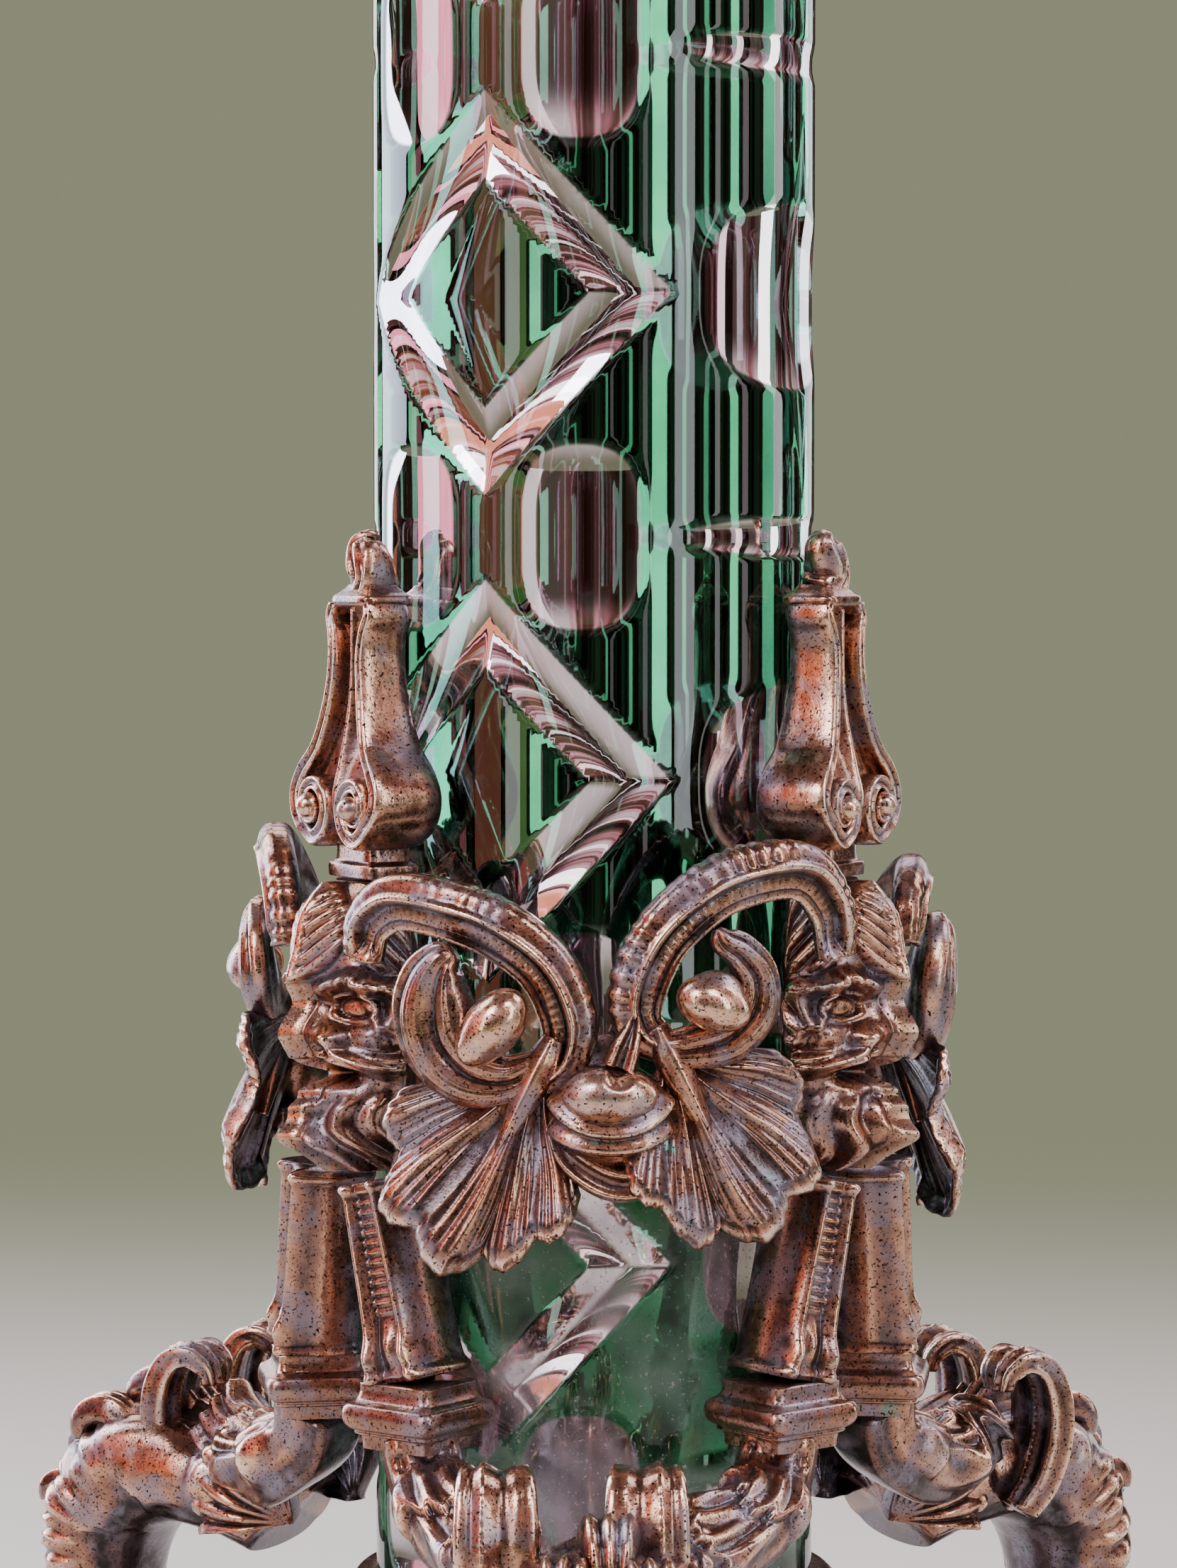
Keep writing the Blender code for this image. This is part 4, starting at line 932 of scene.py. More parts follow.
def pilaster_shapes(hand):
    """A tapered strut, its front a ladder of small rungs between two fillets that end in drops."""
    low, high = height_of("pilaster_1a"), height_of("pilaster_1a", True)
    route = []
    for part in (0.0, 0.15, 0.4, 0.7, 0.93, 1.0):
        degrees = hand * (21.5 + (12.5 - 21.5) * part)
        z = low + 0.2 + (high - low - 0.4) * part
        wide = 2 * (6.0 + (4.8 - 6.0) * part) * (1.06 if part < 0.1 else 1.0)
        route.append(polar(50.4, degrees, z) + (wide, 13.5 + 1.0 * bell(part, 0.25)))

    def ladder(s, u, v, length):
        run = s * length
        front = step(v, 0.3, 0.7)
        fillets = 1.25 * bell(np.abs(u) - 0.70, 0.17)
        rungs = (0.55 * (0.5 + 0.5 * np.cos(2 * math.pi * run / 1.75)) * (np.abs(u) < 0.42)
                 * step(s, 0.30, 0.38))
        channel = -1.1 * (1 - step(np.abs(u), 0.35, 0.5))
        drops = 1.5 * bell(np.abs(u) - 0.62, 0.26) * bell(s - 0.13, 0.08)
        tongue = 1.9 * bell(u, 0.3) * bell(s - 0.17, 0.11) * (1 - step(s, 0.28, 0.36))
        collar = 0.9 * bell(s - 0.03, 0.03) + 0.8 * bell(s - 0.975, 0.025)
        sides = (1 - front) * 0.5 * bell(v - 0.1, 0.3)
        return front * (fillets + rungs + channel + drops + tongue) + collar + sides

    return [strap(route, ladder, front=46, side=10, along=104, squareness=5.5, gain=0.7, base=0.48)]


# Haunches ----------------------------------------------------------------------------------------


def overlapping(run, u, pitch):
    """Leaf on leaf along a strap: each rises over its pitch to a scalloped tip and drops to the next,
    with a raised stem and folds that spread from it."""
    tip = run / pitch + 0.42 * np.abs(u) ** 1.4 + 0.06 * np.cos(2 * math.pi * u * 2.5)
    part = tip - np.floor(tip)
    rise = 1.9 * part**1.3 * (1 - step(part, 0.9, 1.0))
    folds = (0.75 * np.cos(2 * math.pi * (u * 1.9 * (1.25 - 0.5 * part)) + math.pi)
             * np.sin(math.pi * part) ** 0.5)
    stem = 0.8 * bell(u, 0.13) * (1 - 0.5 * part)
    fine = 0.07 * np.cos(2 * math.pi * u * 9)
    return rise + folds + stem + fine


def haunch_shapes(hand):
    """A moulded capital, a short fluted neck under it, and an acanthus leaf that sweeps down and out
    from it and ends in a rolled curl with a beaded midrib."""
    a = math.radians(38.5)
    x, y = 51.0 * math.sin(a), 51.0 * math.cos(a)
    curl = 18.5 if hand < 0 else 6.4
    low = 111.0

    def stand_square(rings):
        turn = math.radians(38.5) * hand
        dx, dy = rings[..., 0].copy(), rings[..., 1].copy()
        rings[..., 0] = hand * x + dx * math.cos(turn) + dy * math.sin(turn)
        rings[..., 1] = y - dx * math.sin(turn) + dy * math.cos(turn)
        return rings

    shapes = [moulded_block((0, 0, low), (9.3, 9.3), [
        (0.1, 0.80), (1.4, 0.81), (2.4, 0.84), (2.8, 0.92), (3.4, 0.93), (3.9, 1.02), (5.0, 1.09),
                                                      (6.6, 1.10),
        (7.8, 1.05), (8.3, 0.96), (8.9, 0.88), (10.0, 0.84), (11.6, 0.84)], power=10.0, lean=stand_square)]
    main = [(hand * x, y, 112.5, 13.6, 14.0), (hand * x * 0.95, y * 1.06, 106, 13.6, 14.2),
            (hand * (0.85 * x), 50.5, 100.5, 14.0, 13.6),
            (hand * (0.52 * x + 0.3 * curl), 60.0, 97.6, 14.4, 12.6),
            (hand * (0.2 * x + 0.66 * curl), 68.5, 98.5, 14.2, 11.6), (hand * curl, 76.0, 103.2, 13.4, 9.6)]

    def acanthus(s, u, v, length):
        run = s * length
        front = step(v, -0.3, 0.4)
        flutes = (-0.9 * (np.abs(np.cos(math.pi * u * 1.5)) ** 4) * (1 - step(s, 0.17, 0.22))
                  * step(s, 0.03, 0.06))
        return front * (flutes + overlapping(run - 7.0, u, 19.0) * step(s, 0.2,
                                                                        0.3)) + (1 - front) * 0.4 * np.cos(
            2 * math.pi * v * 1.3)

    shapes.append(strap(main, acanthus, front=38, side=12, along=110, squareness=3.4, gain=0.6, base=0.48,
                        face=(0, 0.8, 0.6)))
    eye = np.array([hand * curl, 79.5, 102.0])

    def round_eye(path):
        return unit((path - eye) * [0, 1, 1] + [0, 0.01, 0])

    roll = [(hand * curl, 82.0, 86.0, 11.0, 6.0), (hand * curl, 86.0, 91.0, 12.6, 7.0),
            (hand * curl, 88.6, 98.5, 13.6, 7.4), (hand * curl, 88.8, 106.4, 13.6, 7.0),
            (hand * curl, 86.4, 112.4, 12.8, 6.0), (hand * curl, 82.4, 114.2, 11.2, 5.0),
            (hand * curl, 79.0, 112.0, 8.4, 4.2), (hand * curl, 78.6, 108.6, 5.0, 3.2)]

    def rolled(s, u, v, length):
        run = s * length
        beads = 0.5 * bell(u + 0.36 * hand, 0.09) * (0.6 + 0.4 * np.cos(2 * math.pi * run / 1.5))
        hollows = -1.3 * bell(u - 0.18 * hand, 0.30) - 0.6 * bell(u + 0.64 * hand, 0.16)
        rim = 0.8 * bell(np.abs(u) - 0.92, 0.14)
        return step(np.abs(v), 0.1, 0.5) * (beads + hollows + rim)

    shapes.append(strap(roll, rolled, front=36, side=8, along=80, squareness=2.6, gain=0.7, base=0.56,
                        face=round_eye))
    return shapes


# Turned pieces and ironwork ------------------------------------------------------------------------


def turned(head, outline, tail, chasing=None, centre=(0.0, 0.0), around=144, rows=84):
    """A turned form: a line of (radius, height) carried round an axis at centre.

    head and tail are straight runs before and after the outline, which is a smooth curve. chasing(turn,
    height, run) is how far the outline is pushed out, in mm. A line that starts on the axis is closed
    there."""
    curve = even(np.array([(r, 0, z) for r, z in outline], float), rows)[:, [0, 2]]
    line = np.concatenate([np.array(head, float).reshape(-1, 2), curve,
                           np.array(tail, float).reshape(-1, 2)])
    turn = np.linspace(0, 2 * math.pi, around, endpoint=False)[None]
    lift = np.zeros((len(line), around))
    own = slice(len(head), len(head) + rows)
    if chasing:
        lift[own] = chasing(turn, curve[:, 1:2], np.linspace(0, 1, rows)[:, None])
    tangent = unit(np.gradient(line, axis=0))
    normal = np.stack([-tangent[:, 1], tangent[:, 0]], -1)
    if normal[own].sum(axis=0)[0] < 0:
        normal = -normal
    r = line[:, :1] + normal[:, :1] * lift
    z = line[:, 1:] + normal[:, 1:] * lift
    # Swellings of the outline are lighter as rubbed wear; its hollows are darker, grime and painted shade.
    bulge = line[:, 0] - np.convolve(np.pad(line[:, 0], 7, mode="edge"), np.ones(15) / 15, "valid")
    wear = np.clip(rubbed_and_shaded(lift, 3, 0.7, 0.5, wrap=True) + 0.3 * np.clip(bulge, -1, 1)[:, None], 0, 1)
    rings = np.stack([centre[0] + r * np.sin(turn), centre[1] + r * np.cos(turn), z], -1)
    if line[0, 0] < 1e-6:
        inner = slice(1, -1) if line[-1, 0] < 1e-6 else slice(1, None)
        return tube(rings[inner], wear[inner])
    count = len(line)
    i, j = np.meshgrid(np.arange(count), np.arange(around), indexing="ij")
    k, m = (j + 1) % around, (i + 1) % count
    faces = np.stack([i * around + j, i * around + k, m * around + k, m * around + j], -1).reshape(-1, 4)
    points = rings.reshape(-1, 3)
    return points, outward(points, faces), wear.reshape(-1)


def cup_shape():
    """The cup that takes the foot of the glass: a bead row over upright gadroons."""
    def chasing(turn, z, run):
        beads = 0.55 * np.abs(np.cos(39 * turn)) * bell(z - 77.4, 1.2)
        gadroons = (0.9 * (np.abs(np.cos(21 * turn)) ** 0.6 - 0.5) * step(z, 56.0, 58.0)
                    * (1 - step(z, 71.5, 73.0)))
        return beads + gadroons
    return turned([], [(43.6, 79.9), (44.6, 78.6), (44.7, 76.2), (43.5, 74.6), (42.8, 73.4), (43.3, 71.5),
                       (43.9, 66), (43.5, 61), (41.8, 57.2), (40.2, 54.8)],
                  [(40.0, 54.3), (4.3, 54.3), (4.3, 65.7), (40.3, 65.7), (40.3, 79.9)], chasing, around=234)


def collar_shape():
    """The collar over the top of the glass: a shoulder of petals, a bead row and a hanging leaf edge."""
    def chasing(turn, z, run):
        beads = 0.5 * np.abs(np.cos(39 * turn)) * bell(z - 484.2, 1.3)
        petals = 0.8 * (np.abs(np.cos(12 * turn)) ** 0.5 - 0.6) * step(z, 487.6, 488.6)
        leaves = (0.6 * (np.abs(np.cos(14 * turn)) ** 0.5 - 0.6) * step(z, 471.5, 473.0)
                  * (1 - step(z, 479.5, 481.0)))
        return beads + petals + leaves
    return turned([], [(24.3, 493.8), (26.6, 490.9), (33.0, 489.9), (40.6, 488.6), (44.4, 486.0),
                       (44.9, 484.2),
                       (44.3, 482.3), (43.4, 481.2), (43.3, 478), (43.6, 474), (43.3, 471.4)],
                  [(42.8, 470), (40.3, 470), (40.3, 484.3), (4.3, 484.3), (4.3, 494.0), (24.0, 494.0)],
                  chasing, around=234)


def seat_shape():
    """The waisted ring that the pan stands on, its waist reeded."""
    def chasing(turn, z, run):
        return 0.4 * (np.abs(np.cos(16 * turn)) - 0.6) * step(z, 496.0, 498.0) * (1 - step(z, 506.0, 508.0))
    return turned([(24.0, 512.0)], [(24.6, 511.6), (25.4, 510.5), (24.2, 509.2), (18.8, 506), (16.2, 501.5),
                                    (17.6, 497), (21.6, 494.9)],
                  [(22.4, 494.3), (11.0, 494.3), (11.0, 512.0)], chasing)


def pan_shape():
    """The drip pan: a shallow dish with a rolled rim and petals chased underneath."""
    def chasing(turn, z, run):
        return (0.55 * (np.abs(np.cos(15 * turn)) ** 0.5 - 0.6) * step(z, 513.0, 514.0)
                * (1 - step(z, 518.2, 519.4)))
    return turned([(8.4, 515.5), (32.0, 515.5), (46.0, 517.2), (54.0, 520.9)],
                  [(54.6, 521.5), (55.6, 522.0), (56.8, 521.5), (56.8, 520.2), (55.4, 519.0), (51, 516.6),
                   (46, 514.4), (38, 513.0), (31, 512.5)],
                  [(30.0, 512.3), (10.4, 512.3), (10.4, 506.8), (8.4, 506.8)], chasing, around=240)


def nozzle_shape():
    """The candle nozzle: a lipped vase on a waisted stem, its belly gadrooned."""
    def chasing(turn, z, run):
        belly = (0.6 * (np.abs(np.cos(9 * turn)) ** 0.6 - 0.55) * step(z, 535.0, 538.0)
                 * (1 - step(z, 550.0, 553.0)))
        lip = 0.35 * np.abs(np.cos(24 * turn)) * bell(z - 563.2, 1.0)
        return belly + lip
    return turned([(0, 537.0), (11.2, 537.0), (11.2, 564.6), (11.8, 565.0), (19.6, 565.0)],
                  [(20.2, 564.9), (21.1, 563.9), (19.8, 562.1), (15.0, 559.4), (14.2, 554), (15.7, 547),
                   (15.3, 541),
                   (11.0, 534.8), (7.3, 530), (6.5, 526), (8.3, 522), (12.4, 518.0), (13.9, 516.4)],
                  [(14.0, 515.8), (8.0, 515.8), (8.0, 512.6), (0, 512.6)], chasing)


def foot_shape():
    """A bun foot with a bead above its belly and shallow gadroons."""
    def chasing(turn, z, run):
        return (0.45 * (np.abs(np.cos(7 * turn)) ** 0.6 - 0.6) * step(z, 1.5, 3.0)
                * (1 - step(z, 10.0, 11.5)))
    return turned([(0, 13.6)], [(8.6, 13.6), (9.6, 13.0), (9.4, 11.6), (10.8, 10.0), (11.6, 7.4),
                                (11.4, 4.0), (10.0, 1.4), (9.2, 0.4)],
                  [(8.9, 0.0), (0, 0.0)], chasing, centre=(0.0, 104.0), around=84, rows=60)


def leg_shapes():
    """A scroll leg: a broad strap over the knee and down to the foot, its front a hairy acanthus between
    rolled edges; curls along its crest, a shell on each flank and a plain scroll back to the cup."""
    knee = np.array([0.0, 82.0, 60.0])
    crest = [(0, 66, 83.5, 27, 15), (0, 76, 89, 31, 20), (0, 88, 92.0, 33, 23), (0, 99, 89.0, 32, 24),
             (0, 106.2, 79, 28, 22), (0, 107.2, 66, 23, 18), (0, 103.5, 52, 19.5, 15),
             (0, 99, 41, 17, 12.5),
             (0, 98.2, 31, 16.5, 12), (0, 102, 22.5, 17, 13), (0, 104, 15.8, 16.5, 14)]

    def round_knee(path):
        return unit((path - knee) * [0, 1, 1] + [0, 0.01, 0])

    def foliage(s, u, v, length):
        run = s * length
        front = step(v, -0.3, 0.4)
        # Hair over the knee: small curls on a slanting lattice about 4 mm apart.
        hair = np.abs(np.sin(math.pi * (run / 5.3 + 1.1 * np.sin(2.1 * u + run / 3.0))) *
                      np.sin(math.pi * (2.6 * u + 0.8 * np.sin(run / 2.7)))) ** 0.8
        knee_zone = (step(s, 0.24, 0.36) * (1 - step(s, 0.46, 0.58))
                     * (0.35 + 0.65 * step(np.abs(u), 0.1, 0.5)))
        surface = (1 - knee_zone) * overlapping(run, u, 24.0) + knee_zone * (1.8 * hair)
        rim = 1.1 * bell(np.abs(u) - 0.93, 0.14) * step(v, -0.4, 0.2)
        flank = (1 - front) * np.abs(u) ** 4 * 0.8 * overlapping(run + 6.0, v, 18.0)
        return front * surface + rim + flank

    shapes = [strap(crest, foliage, face=round_knee, front=52, side=14, along=180, squareness=2.3,
                    gain=0.45, base=0.48)]
    # The inner scroll, back to the underside of the cup.
    scroll = [(0, 103.5, 52, 11, 8), (0, 92, 59.5, 11, 8), (0, 78, 60, 11, 8), (0, 63, 52.4, 11, 8),
              (0, 50, 50.2, 11, 6.4), (0, 29.4, 50.4, 11, 6.2)]

    def reeds(s, u, v, length):
        return ((np.abs(v) > 0.3) * 0.4 * np.cos(2 * math.pi * u * 1.5) * step(s, 0.05, 0.12)
                * (1 - step(s, 0.72, 0.8)))

    shapes.append(strap(scroll, reeds, face=(0, 0, 1), front=24, side=10, along=90, squareness=5.0))

    def curled(s, u, v, length):
        return step(v, -0.1, 0.4) * (0.6 * np.cos(2 * math.pi * u * 1.6) + 0.5 * bell(np.abs(u) - 0.9,
                                                                                      0.2)) \
            * np.sin(math.pi * np.clip(s * 1.1, 0, 1)) ** 0.4

    # Curls along the crest, large to small, each leaning out over the knee.
    for across, out, up, size in ((0.0, 93.5, 103.0, 1.15), (-7.5, 101.0, 98.5, 1.0),
                                  (6.5, 102.5, 98.0, 1.05),
                                  (0.0, 109.5, 92.5, 0.85), (-7.0, 112.5, 86.0, 0.7),
                                  (6.5, 113.0, 84.5, 0.7)):
        hook = [(across * 0.8, out - 9 * size, up - 6 * size, 9 * size, 6 * size),
                (across * 0.9, out - 5 * size, up - 0.5 * size, 9.6 * size, 6.4 * size),
                (across, out, up + 3.2 * size, 9.2 * size, 6 * size),
                (across * 1.05, out + 4.4 * size, up + 1.6 * size, 7.8 * size, 5 * size),
                (across * 1.05, out + 5.2 * size, up - 2.4 * size, 5.6 * size, 3.8 * size),
                (across, out + 2.6 * size, up - 4.0 * size, 3.0 * size, 2.6 * size)]
        shapes.append(strap(hook, curled, face=(0, 0.35, 0.93), front=22, side=6, along=44, squareness=2.8,
                            gain=0.8))
    for hand in (-1, 1):
        shapes.append(flank_shell(hand))
    return shapes


def flank_shell(hand):
    """A scallop shell on the leg's flank: ribs that fan up and out from a hinge by the cup, domed, with a
    rolled rim."""
    rows, columns = 34, 84
    s = np.linspace(0, 1, rows)[:, None]
    u = np.linspace(-1, 1, columns)[None]
    ribs = 7
    wave = np.abs(np.cos(math.pi * ribs * (u + 1) / 2))
    reach = 22.0 * (0.86 + 0.14 * np.cos(u * 1.4)) * (0.95 + 0.05 * wave)
    angle = np.radians(44 + 56 * u)
    along = s**0.9 * reach
    out = 57.5 + along * np.sin(angle)
    up = 85.0 + along * np.cos(angle)
    lift = step(s, 0.05, 0.4) * (2.0 * wave**0.7 - 0.4) + 0.9 * bell(s - 0.94, 0.05)
    dome = 7.0 * np.sin(math.pi * (0.10 + 0.74 * s)) * (1 - 0.35 * u**2)
    side = 11.5 + dome + lift
    front = np.stack([hand * side, out + 0 * side, up + 0 * side], -1)
    edge = np.minimum(np.minimum(s, 1 - s) * 12, (1 - np.abs(u)) * 12)
    thick = 4.0 * np.clip(edge, 0.05, 1) ** 0.6
    back = np.stack([hand * (side - thick), out + 0 * side, up + 0 * side], -1)
    return sheet(front, back, rubbed_and_shaded(lift + 0 * side, 4, 0.6, 0.5))


class CANDLESTICK_OT_ironwork(bpy.types.Operator):
    """Dresses the tie rod, its nuts and the leg bolts in browned iron"""

    bl_idname = "candlestick.ironwork"
    bl_label = "Tie rod, nuts and bolts"

    def execute(self, context):
        iron = iron_material()
        for name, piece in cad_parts.items():
            if name.startswith(("tie_rod", "top_nut", "base_nut", "leg_bolt")):
                piece.data.materials.clear()
                piece.data.materials.append(iron)
        return {"FINISHED"}


# The stage ---------------------------------------------------------------------------------------


def lay_floor(settings):
    """A wide disc, pale near the candlestick and fading into the room's own colour, so no edge shows.
    Further out it is a painted glow of the wall's colour, though no lamp is there.
    """
    rings = np.array([0.001, 0.3, 0.7, 1.1, 1.35, 1.6])
    turn = np.linspace(0, 2 * math.pi, 64, endpoint=False)
    points = np.stack([rings[:, None] * np.cos(turn), rings[:, None] * np.sin(turn),
                       0 * rings[:, None] * turn + FLOOR_HEIGHT], -1).reshape(-1, 3)
    i, j = np.meshgrid(np.arange(len(rings) - 1), np.arange(64), indexing="ij")
    k = (j + 1) % 64
    faces = np.stack([i * 64 + j, (i + 1) * 64 + j, (i + 1) * 64 + k, i * 64 + k], -1).reshape(-1, 4)
    mesh = bpy.data.meshes.new("floor")
    mesh.from_pydata(points.tolist(), [], faces.tolist() + [list(range(64))])
    mesh.update()
    floor = bpy.data.objects.new("floor", mesh)
    bpy.context.scene.collection.objects.link(floor)
    material, tree, shader = new_material("painted table top, pale")
    place = node(tree, "ShaderNodeTexCoord").outputs["Object"]
    distance = node(tree, "ShaderNodeVectorMath", {0: place}, operation="LENGTH").outputs["Value"]
    part = node(tree, "ShaderNodeMath", {0: distance}, operation="DIVIDE", inputs={1: 1.3}).outputs[0]
    paint = ramp(tree, part, [(0.15, settings.floor), (1.0, settings.wall)], "EASE")
    tree.links.new(paint, shader.inputs["Base Color"])
    shader.inputs["Roughness"].default_value = 0.6
    # Painted glow: the outer floor emits the wall's colour so it blends into the plain wall behind.
    glow = node(tree, "ShaderNodeEmission", inputs={"Color": (*settings.wall, 1), "Strength": 1.0})
    fade = ramp(tree, part, [(0.30, grey(0.0)), (1.0, grey(1.0))], "EASE")
    both = node(tree, "ShaderNodeMixShader", {0: fade, 1: shader.outputs[0], 2: glow.outputs[0]})
    tree.links.new(both.outputs[0], tree.nodes["Material Output"].inputs["Surface"])
    mesh.materials.append(material)


# Softboxes and cards round the column, as (turn from the camera in degrees, width in degrees,
# distance, height of the middle, height, colour, brightness).
PANELS = (
    (-42.0, 8.0, 1.5, 0.50, 1.6, "#FFFFFF", 4.5),
    (-56.0, 15.0, 1.5, 0.50, 1.6, "#AA6650", 4.6),
    (-71.0, 4.0, 1.5, 0.50, 1.6, "#F77F9C", 2.4),
    (-86.0, 22.0, 1.5, 0.50, 1.6, "#A0583A", 0.8),
    (-104.0, 8.0, 1.5, 0.50, 1.6, "#F48FA8", 2.4),
    (-128.0, 30.0, 1.4, 0.55, 1.6, "#DDE7FF", 9.0),
    (-160.0, 12.0, 1.5, 0.55, 1.6, "#FFFFFF", 3.0),
    (-27.0, 2.0, 1.5, 0.50, 1.6, "#FFE3EA", 1.6),
    (-13.0, 1.2, 1.5, 0.50, 1.6, "#FFFFFF", 1.2),
    (9.0, 1.6, 1.5, 0.50, 1.6, "#FFFFFF", 1.4),
    (26.0, 2.4, 1.5, 0.50, 1.6, "#FFF0F4", 2.0),
    (47.0, 11.0, 1.5, 0.55, 1.7, "#F4FBFF", 5.5),
    (66.0, 3.0, 1.5, 0.50, 1.5, "#FFFFFF", 3.0),
    (84.0, 4.0, 1.5, 0.45, 1.4, "#F6DCE2", 2.5),
    (110.0, 8.0, 1.5, 0.50, 1.5, "#FFFFFF", 5.0),
    (150.0, 16.0, 1.5, 0.60, 1.4, "#E8EEF4", 3.0),
)


# Panels above, turned down to the masks, as (turn, distance, height, size, brightness).
PANEL_AIM = 0.2
HIGH_PANELS = (
    (-38.0, 1.0, 0.95, 0.45, 10.0),
    (30.0, 0.9, 1.15, 0.40, 9.0),
    (-110.0, 0.9, 1.10, 0.60, 5.0),
    (105.0, 0.9, 1.10, 0.55, 5.0),
    (180.0, 0.9, 1.20, 0.60, 4.0),
)


def light_room(scene):
    """Tall soft panels at set turns about the column, five smaller panels above them turned down, and a
    plain grey-green room.
    """
    settings = scene.candlestick_stage
    world = bpy.data.worlds.new("plain room")
    scene.world = world
    world.use_nodes = True
    tree = world.node_tree
    # The room is a plain wall to look at. To light by it is dim at eye level, so the panels do the
    # modelling, under a pale, faintly pink ceiling.
    direction = node(tree, "ShaderNodeTexCoord").outputs["Generated"]
    parts = node(tree, "ShaderNodeSeparateXYZ", {0: direction}).outputs
    glow = ramp(tree, parts["Z"], [(0.0, linear("#4A443C")), (0.10, linear("#4F4540")),
                                   (0.38, linear("#E3D2D6")),
                                   (1.0, linear("#8E8682"))], "EASE")
    # Windows and the dark between them, as upright bands of uneven width.
    azimuth = node(tree, "ShaderNodeMath", {0: parts["Y"], 1: parts["X"]}, operation="ARCTAN2").outputs[0]
    band = node(tree, "ShaderNodeTexNoise", {"W": azimuth}, noise_dimensions="1D",
                inputs={"Scale": 6.0, "Detail": 3.0, "Roughness": 0.7}).outputs["Fac"]
    bands = ramp(tree, band, [(0.38, linear("#2B2322")), (0.47, linear("#7D5A50")),
                              (0.53, linear("#F0AFBE")), (0.58, grey(1.0))])
    glow = node(tree, "ShaderNodeMix", {6: glow, 7: bands}, data_type="RGBA", blend_type="MULTIPLY",
                inputs={"Factor": 1.0}).outputs[2]
    back = tree.nodes["Background"]
    tree.links.new(glow, back.inputs["Color"])
    back.inputs["Strength"].default_value = 1.5
    seen = node(tree, "ShaderNodeBackground", inputs={"Color": (*settings.wall, 1), "Strength": 1.0})
    ray = node(tree, "ShaderNodeLightPath").outputs["Is Camera Ray"]
    both = node(tree, "ShaderNodeMixShader", {0: ray, 1: back.outputs[0], 2: seen.outputs[0]})
    tree.links.new(both.outputs[0], tree.nodes["World Output"].inputs["Surface"])
    middle = np.array([AXIS_X, AXIS_Y, 0.0])
    for number, (turn, width, distance, height, tall, colour, brightness) in enumerate(PANELS):
        heading = math.radians(turn) + settings.turn
        place = middle + distance * np.array([math.sin(heading), -math.cos(heading), 0]) + [0, 0, height]
        lamp = bpy.data.lights.new(f"panel {number + 1}", "AREA")
        lamp.shape = "RECTANGLE"
        lamp.size = 2 * distance * math.tan(math.radians(width / 2))
        lamp.size_y = tall
        lamp.color = linear(colour)
        lamp.energy = brightness * math.pi * lamp.size * lamp.size_y
        panel = bpy.data.objects.new(lamp.name, lamp)
        panel.location = place
        panel.rotation_euler = (math.radians(90), 0, heading)
        scene.collection.objects.link(panel)
    for number, (turn, distance, height, size, brightness) in enumerate(HIGH_PANELS):
        heading = math.radians(turn) + settings.turn
        place = middle + distance * np.array([math.sin(heading), -math.cos(heading), 0]) + [0, 0, height]
        lamp = bpy.data.lights.new(f"high panel {number + 1}", "AREA")
        lamp.size = size
        lamp.color = linear("#EDF1FF")
        lamp.energy = brightness * math.pi * size * size
        panel = bpy.data.objects.new(lamp.name, lamp)
        panel.location = place
        tilt = math.atan2(distance, height - PANEL_AIM)
        panel.rotation_euler = (tilt, 0, heading)
        scene.collection.objects.link(panel)


def stand_camera(scene):
    """Stands the camera level with the middle of the column, dipped a little towards the masks."""
    settings = scene.candlestick_stage
    camera = bpy.data.objects.new("camera", bpy.data.cameras.new("camera"))
    camera.data.lens = settings.lens
    camera.data.sensor_width = 36.0
    camera.data.clip_start = 0.01
    camera.data.shift_x = -0.0035
    camera.location = (AXIS_X + settings.distance * math.sin(settings.turn),
                       AXIS_Y - settings.distance * math.cos(settings.turn), settings.eye_height)
    camera.rotation_euler = (math.radians(90) - settings.dip, 0, settings.turn)
    scene.collection.objects.link(camera)
    scene.camera = camera


# The add-on --------------------------------------------------------------------------------------


def colour_setting(name, hex_colour, description):
    return bpy.props.FloatVectorProperty(name=name, description=description, default=linear(hex_colour),
                                         subtype="COLOR", size=3, min=0.0, max=1.0)


def length_setting(name, millimetres, description):
    return bpy.props.FloatProperty(name=name, description=description, default=millimetres * MM,
                                   min=0.0, unit="LENGTH", precision=4)


class CANDLESTICK_PG_glass(bpy.types.PropertyGroup):
    """Sizes and colours of the cut glass column."""

    diamond_width: length_setting("Diamond width", 53.0, "Width of a diamond, to the middle of its grooves")
    diamond_height: length_setting("Diamond height", 55.0,
                                   "Height of a diamond, to the middle of its grooves")
    groove_width: length_setting("Groove width", 11.6, "Width of the groove round a diamond")
    groove_depth: length_setting("Groove depth", 1.7, "Depth of the groove")
    printy_depth: length_setting("Printy depth", 1.3, "Depth of the oval bowls between the diamonds")
    casing: colour_setting("Casing", "#4AB880", "Green of the casing where it is thin")
    casing_deep: colour_setting("Casing, thicker", "#228852", "Green of the casing where it is thick")
    clear: colour_setting("Clear glass", "#FBF0F4", "Tint of the clear glass under the casing")
    dust: colour_setting("Dust", "#8F8792", "Dust and haze low on the glass")
    silver: colour_setting("Silver", "#DECBD4", "Colour of the silvering")
    silver_violet: colour_setting("Silver, clouded", "#B49DB0",
                                  "Colour of the silvering where it has clouded")


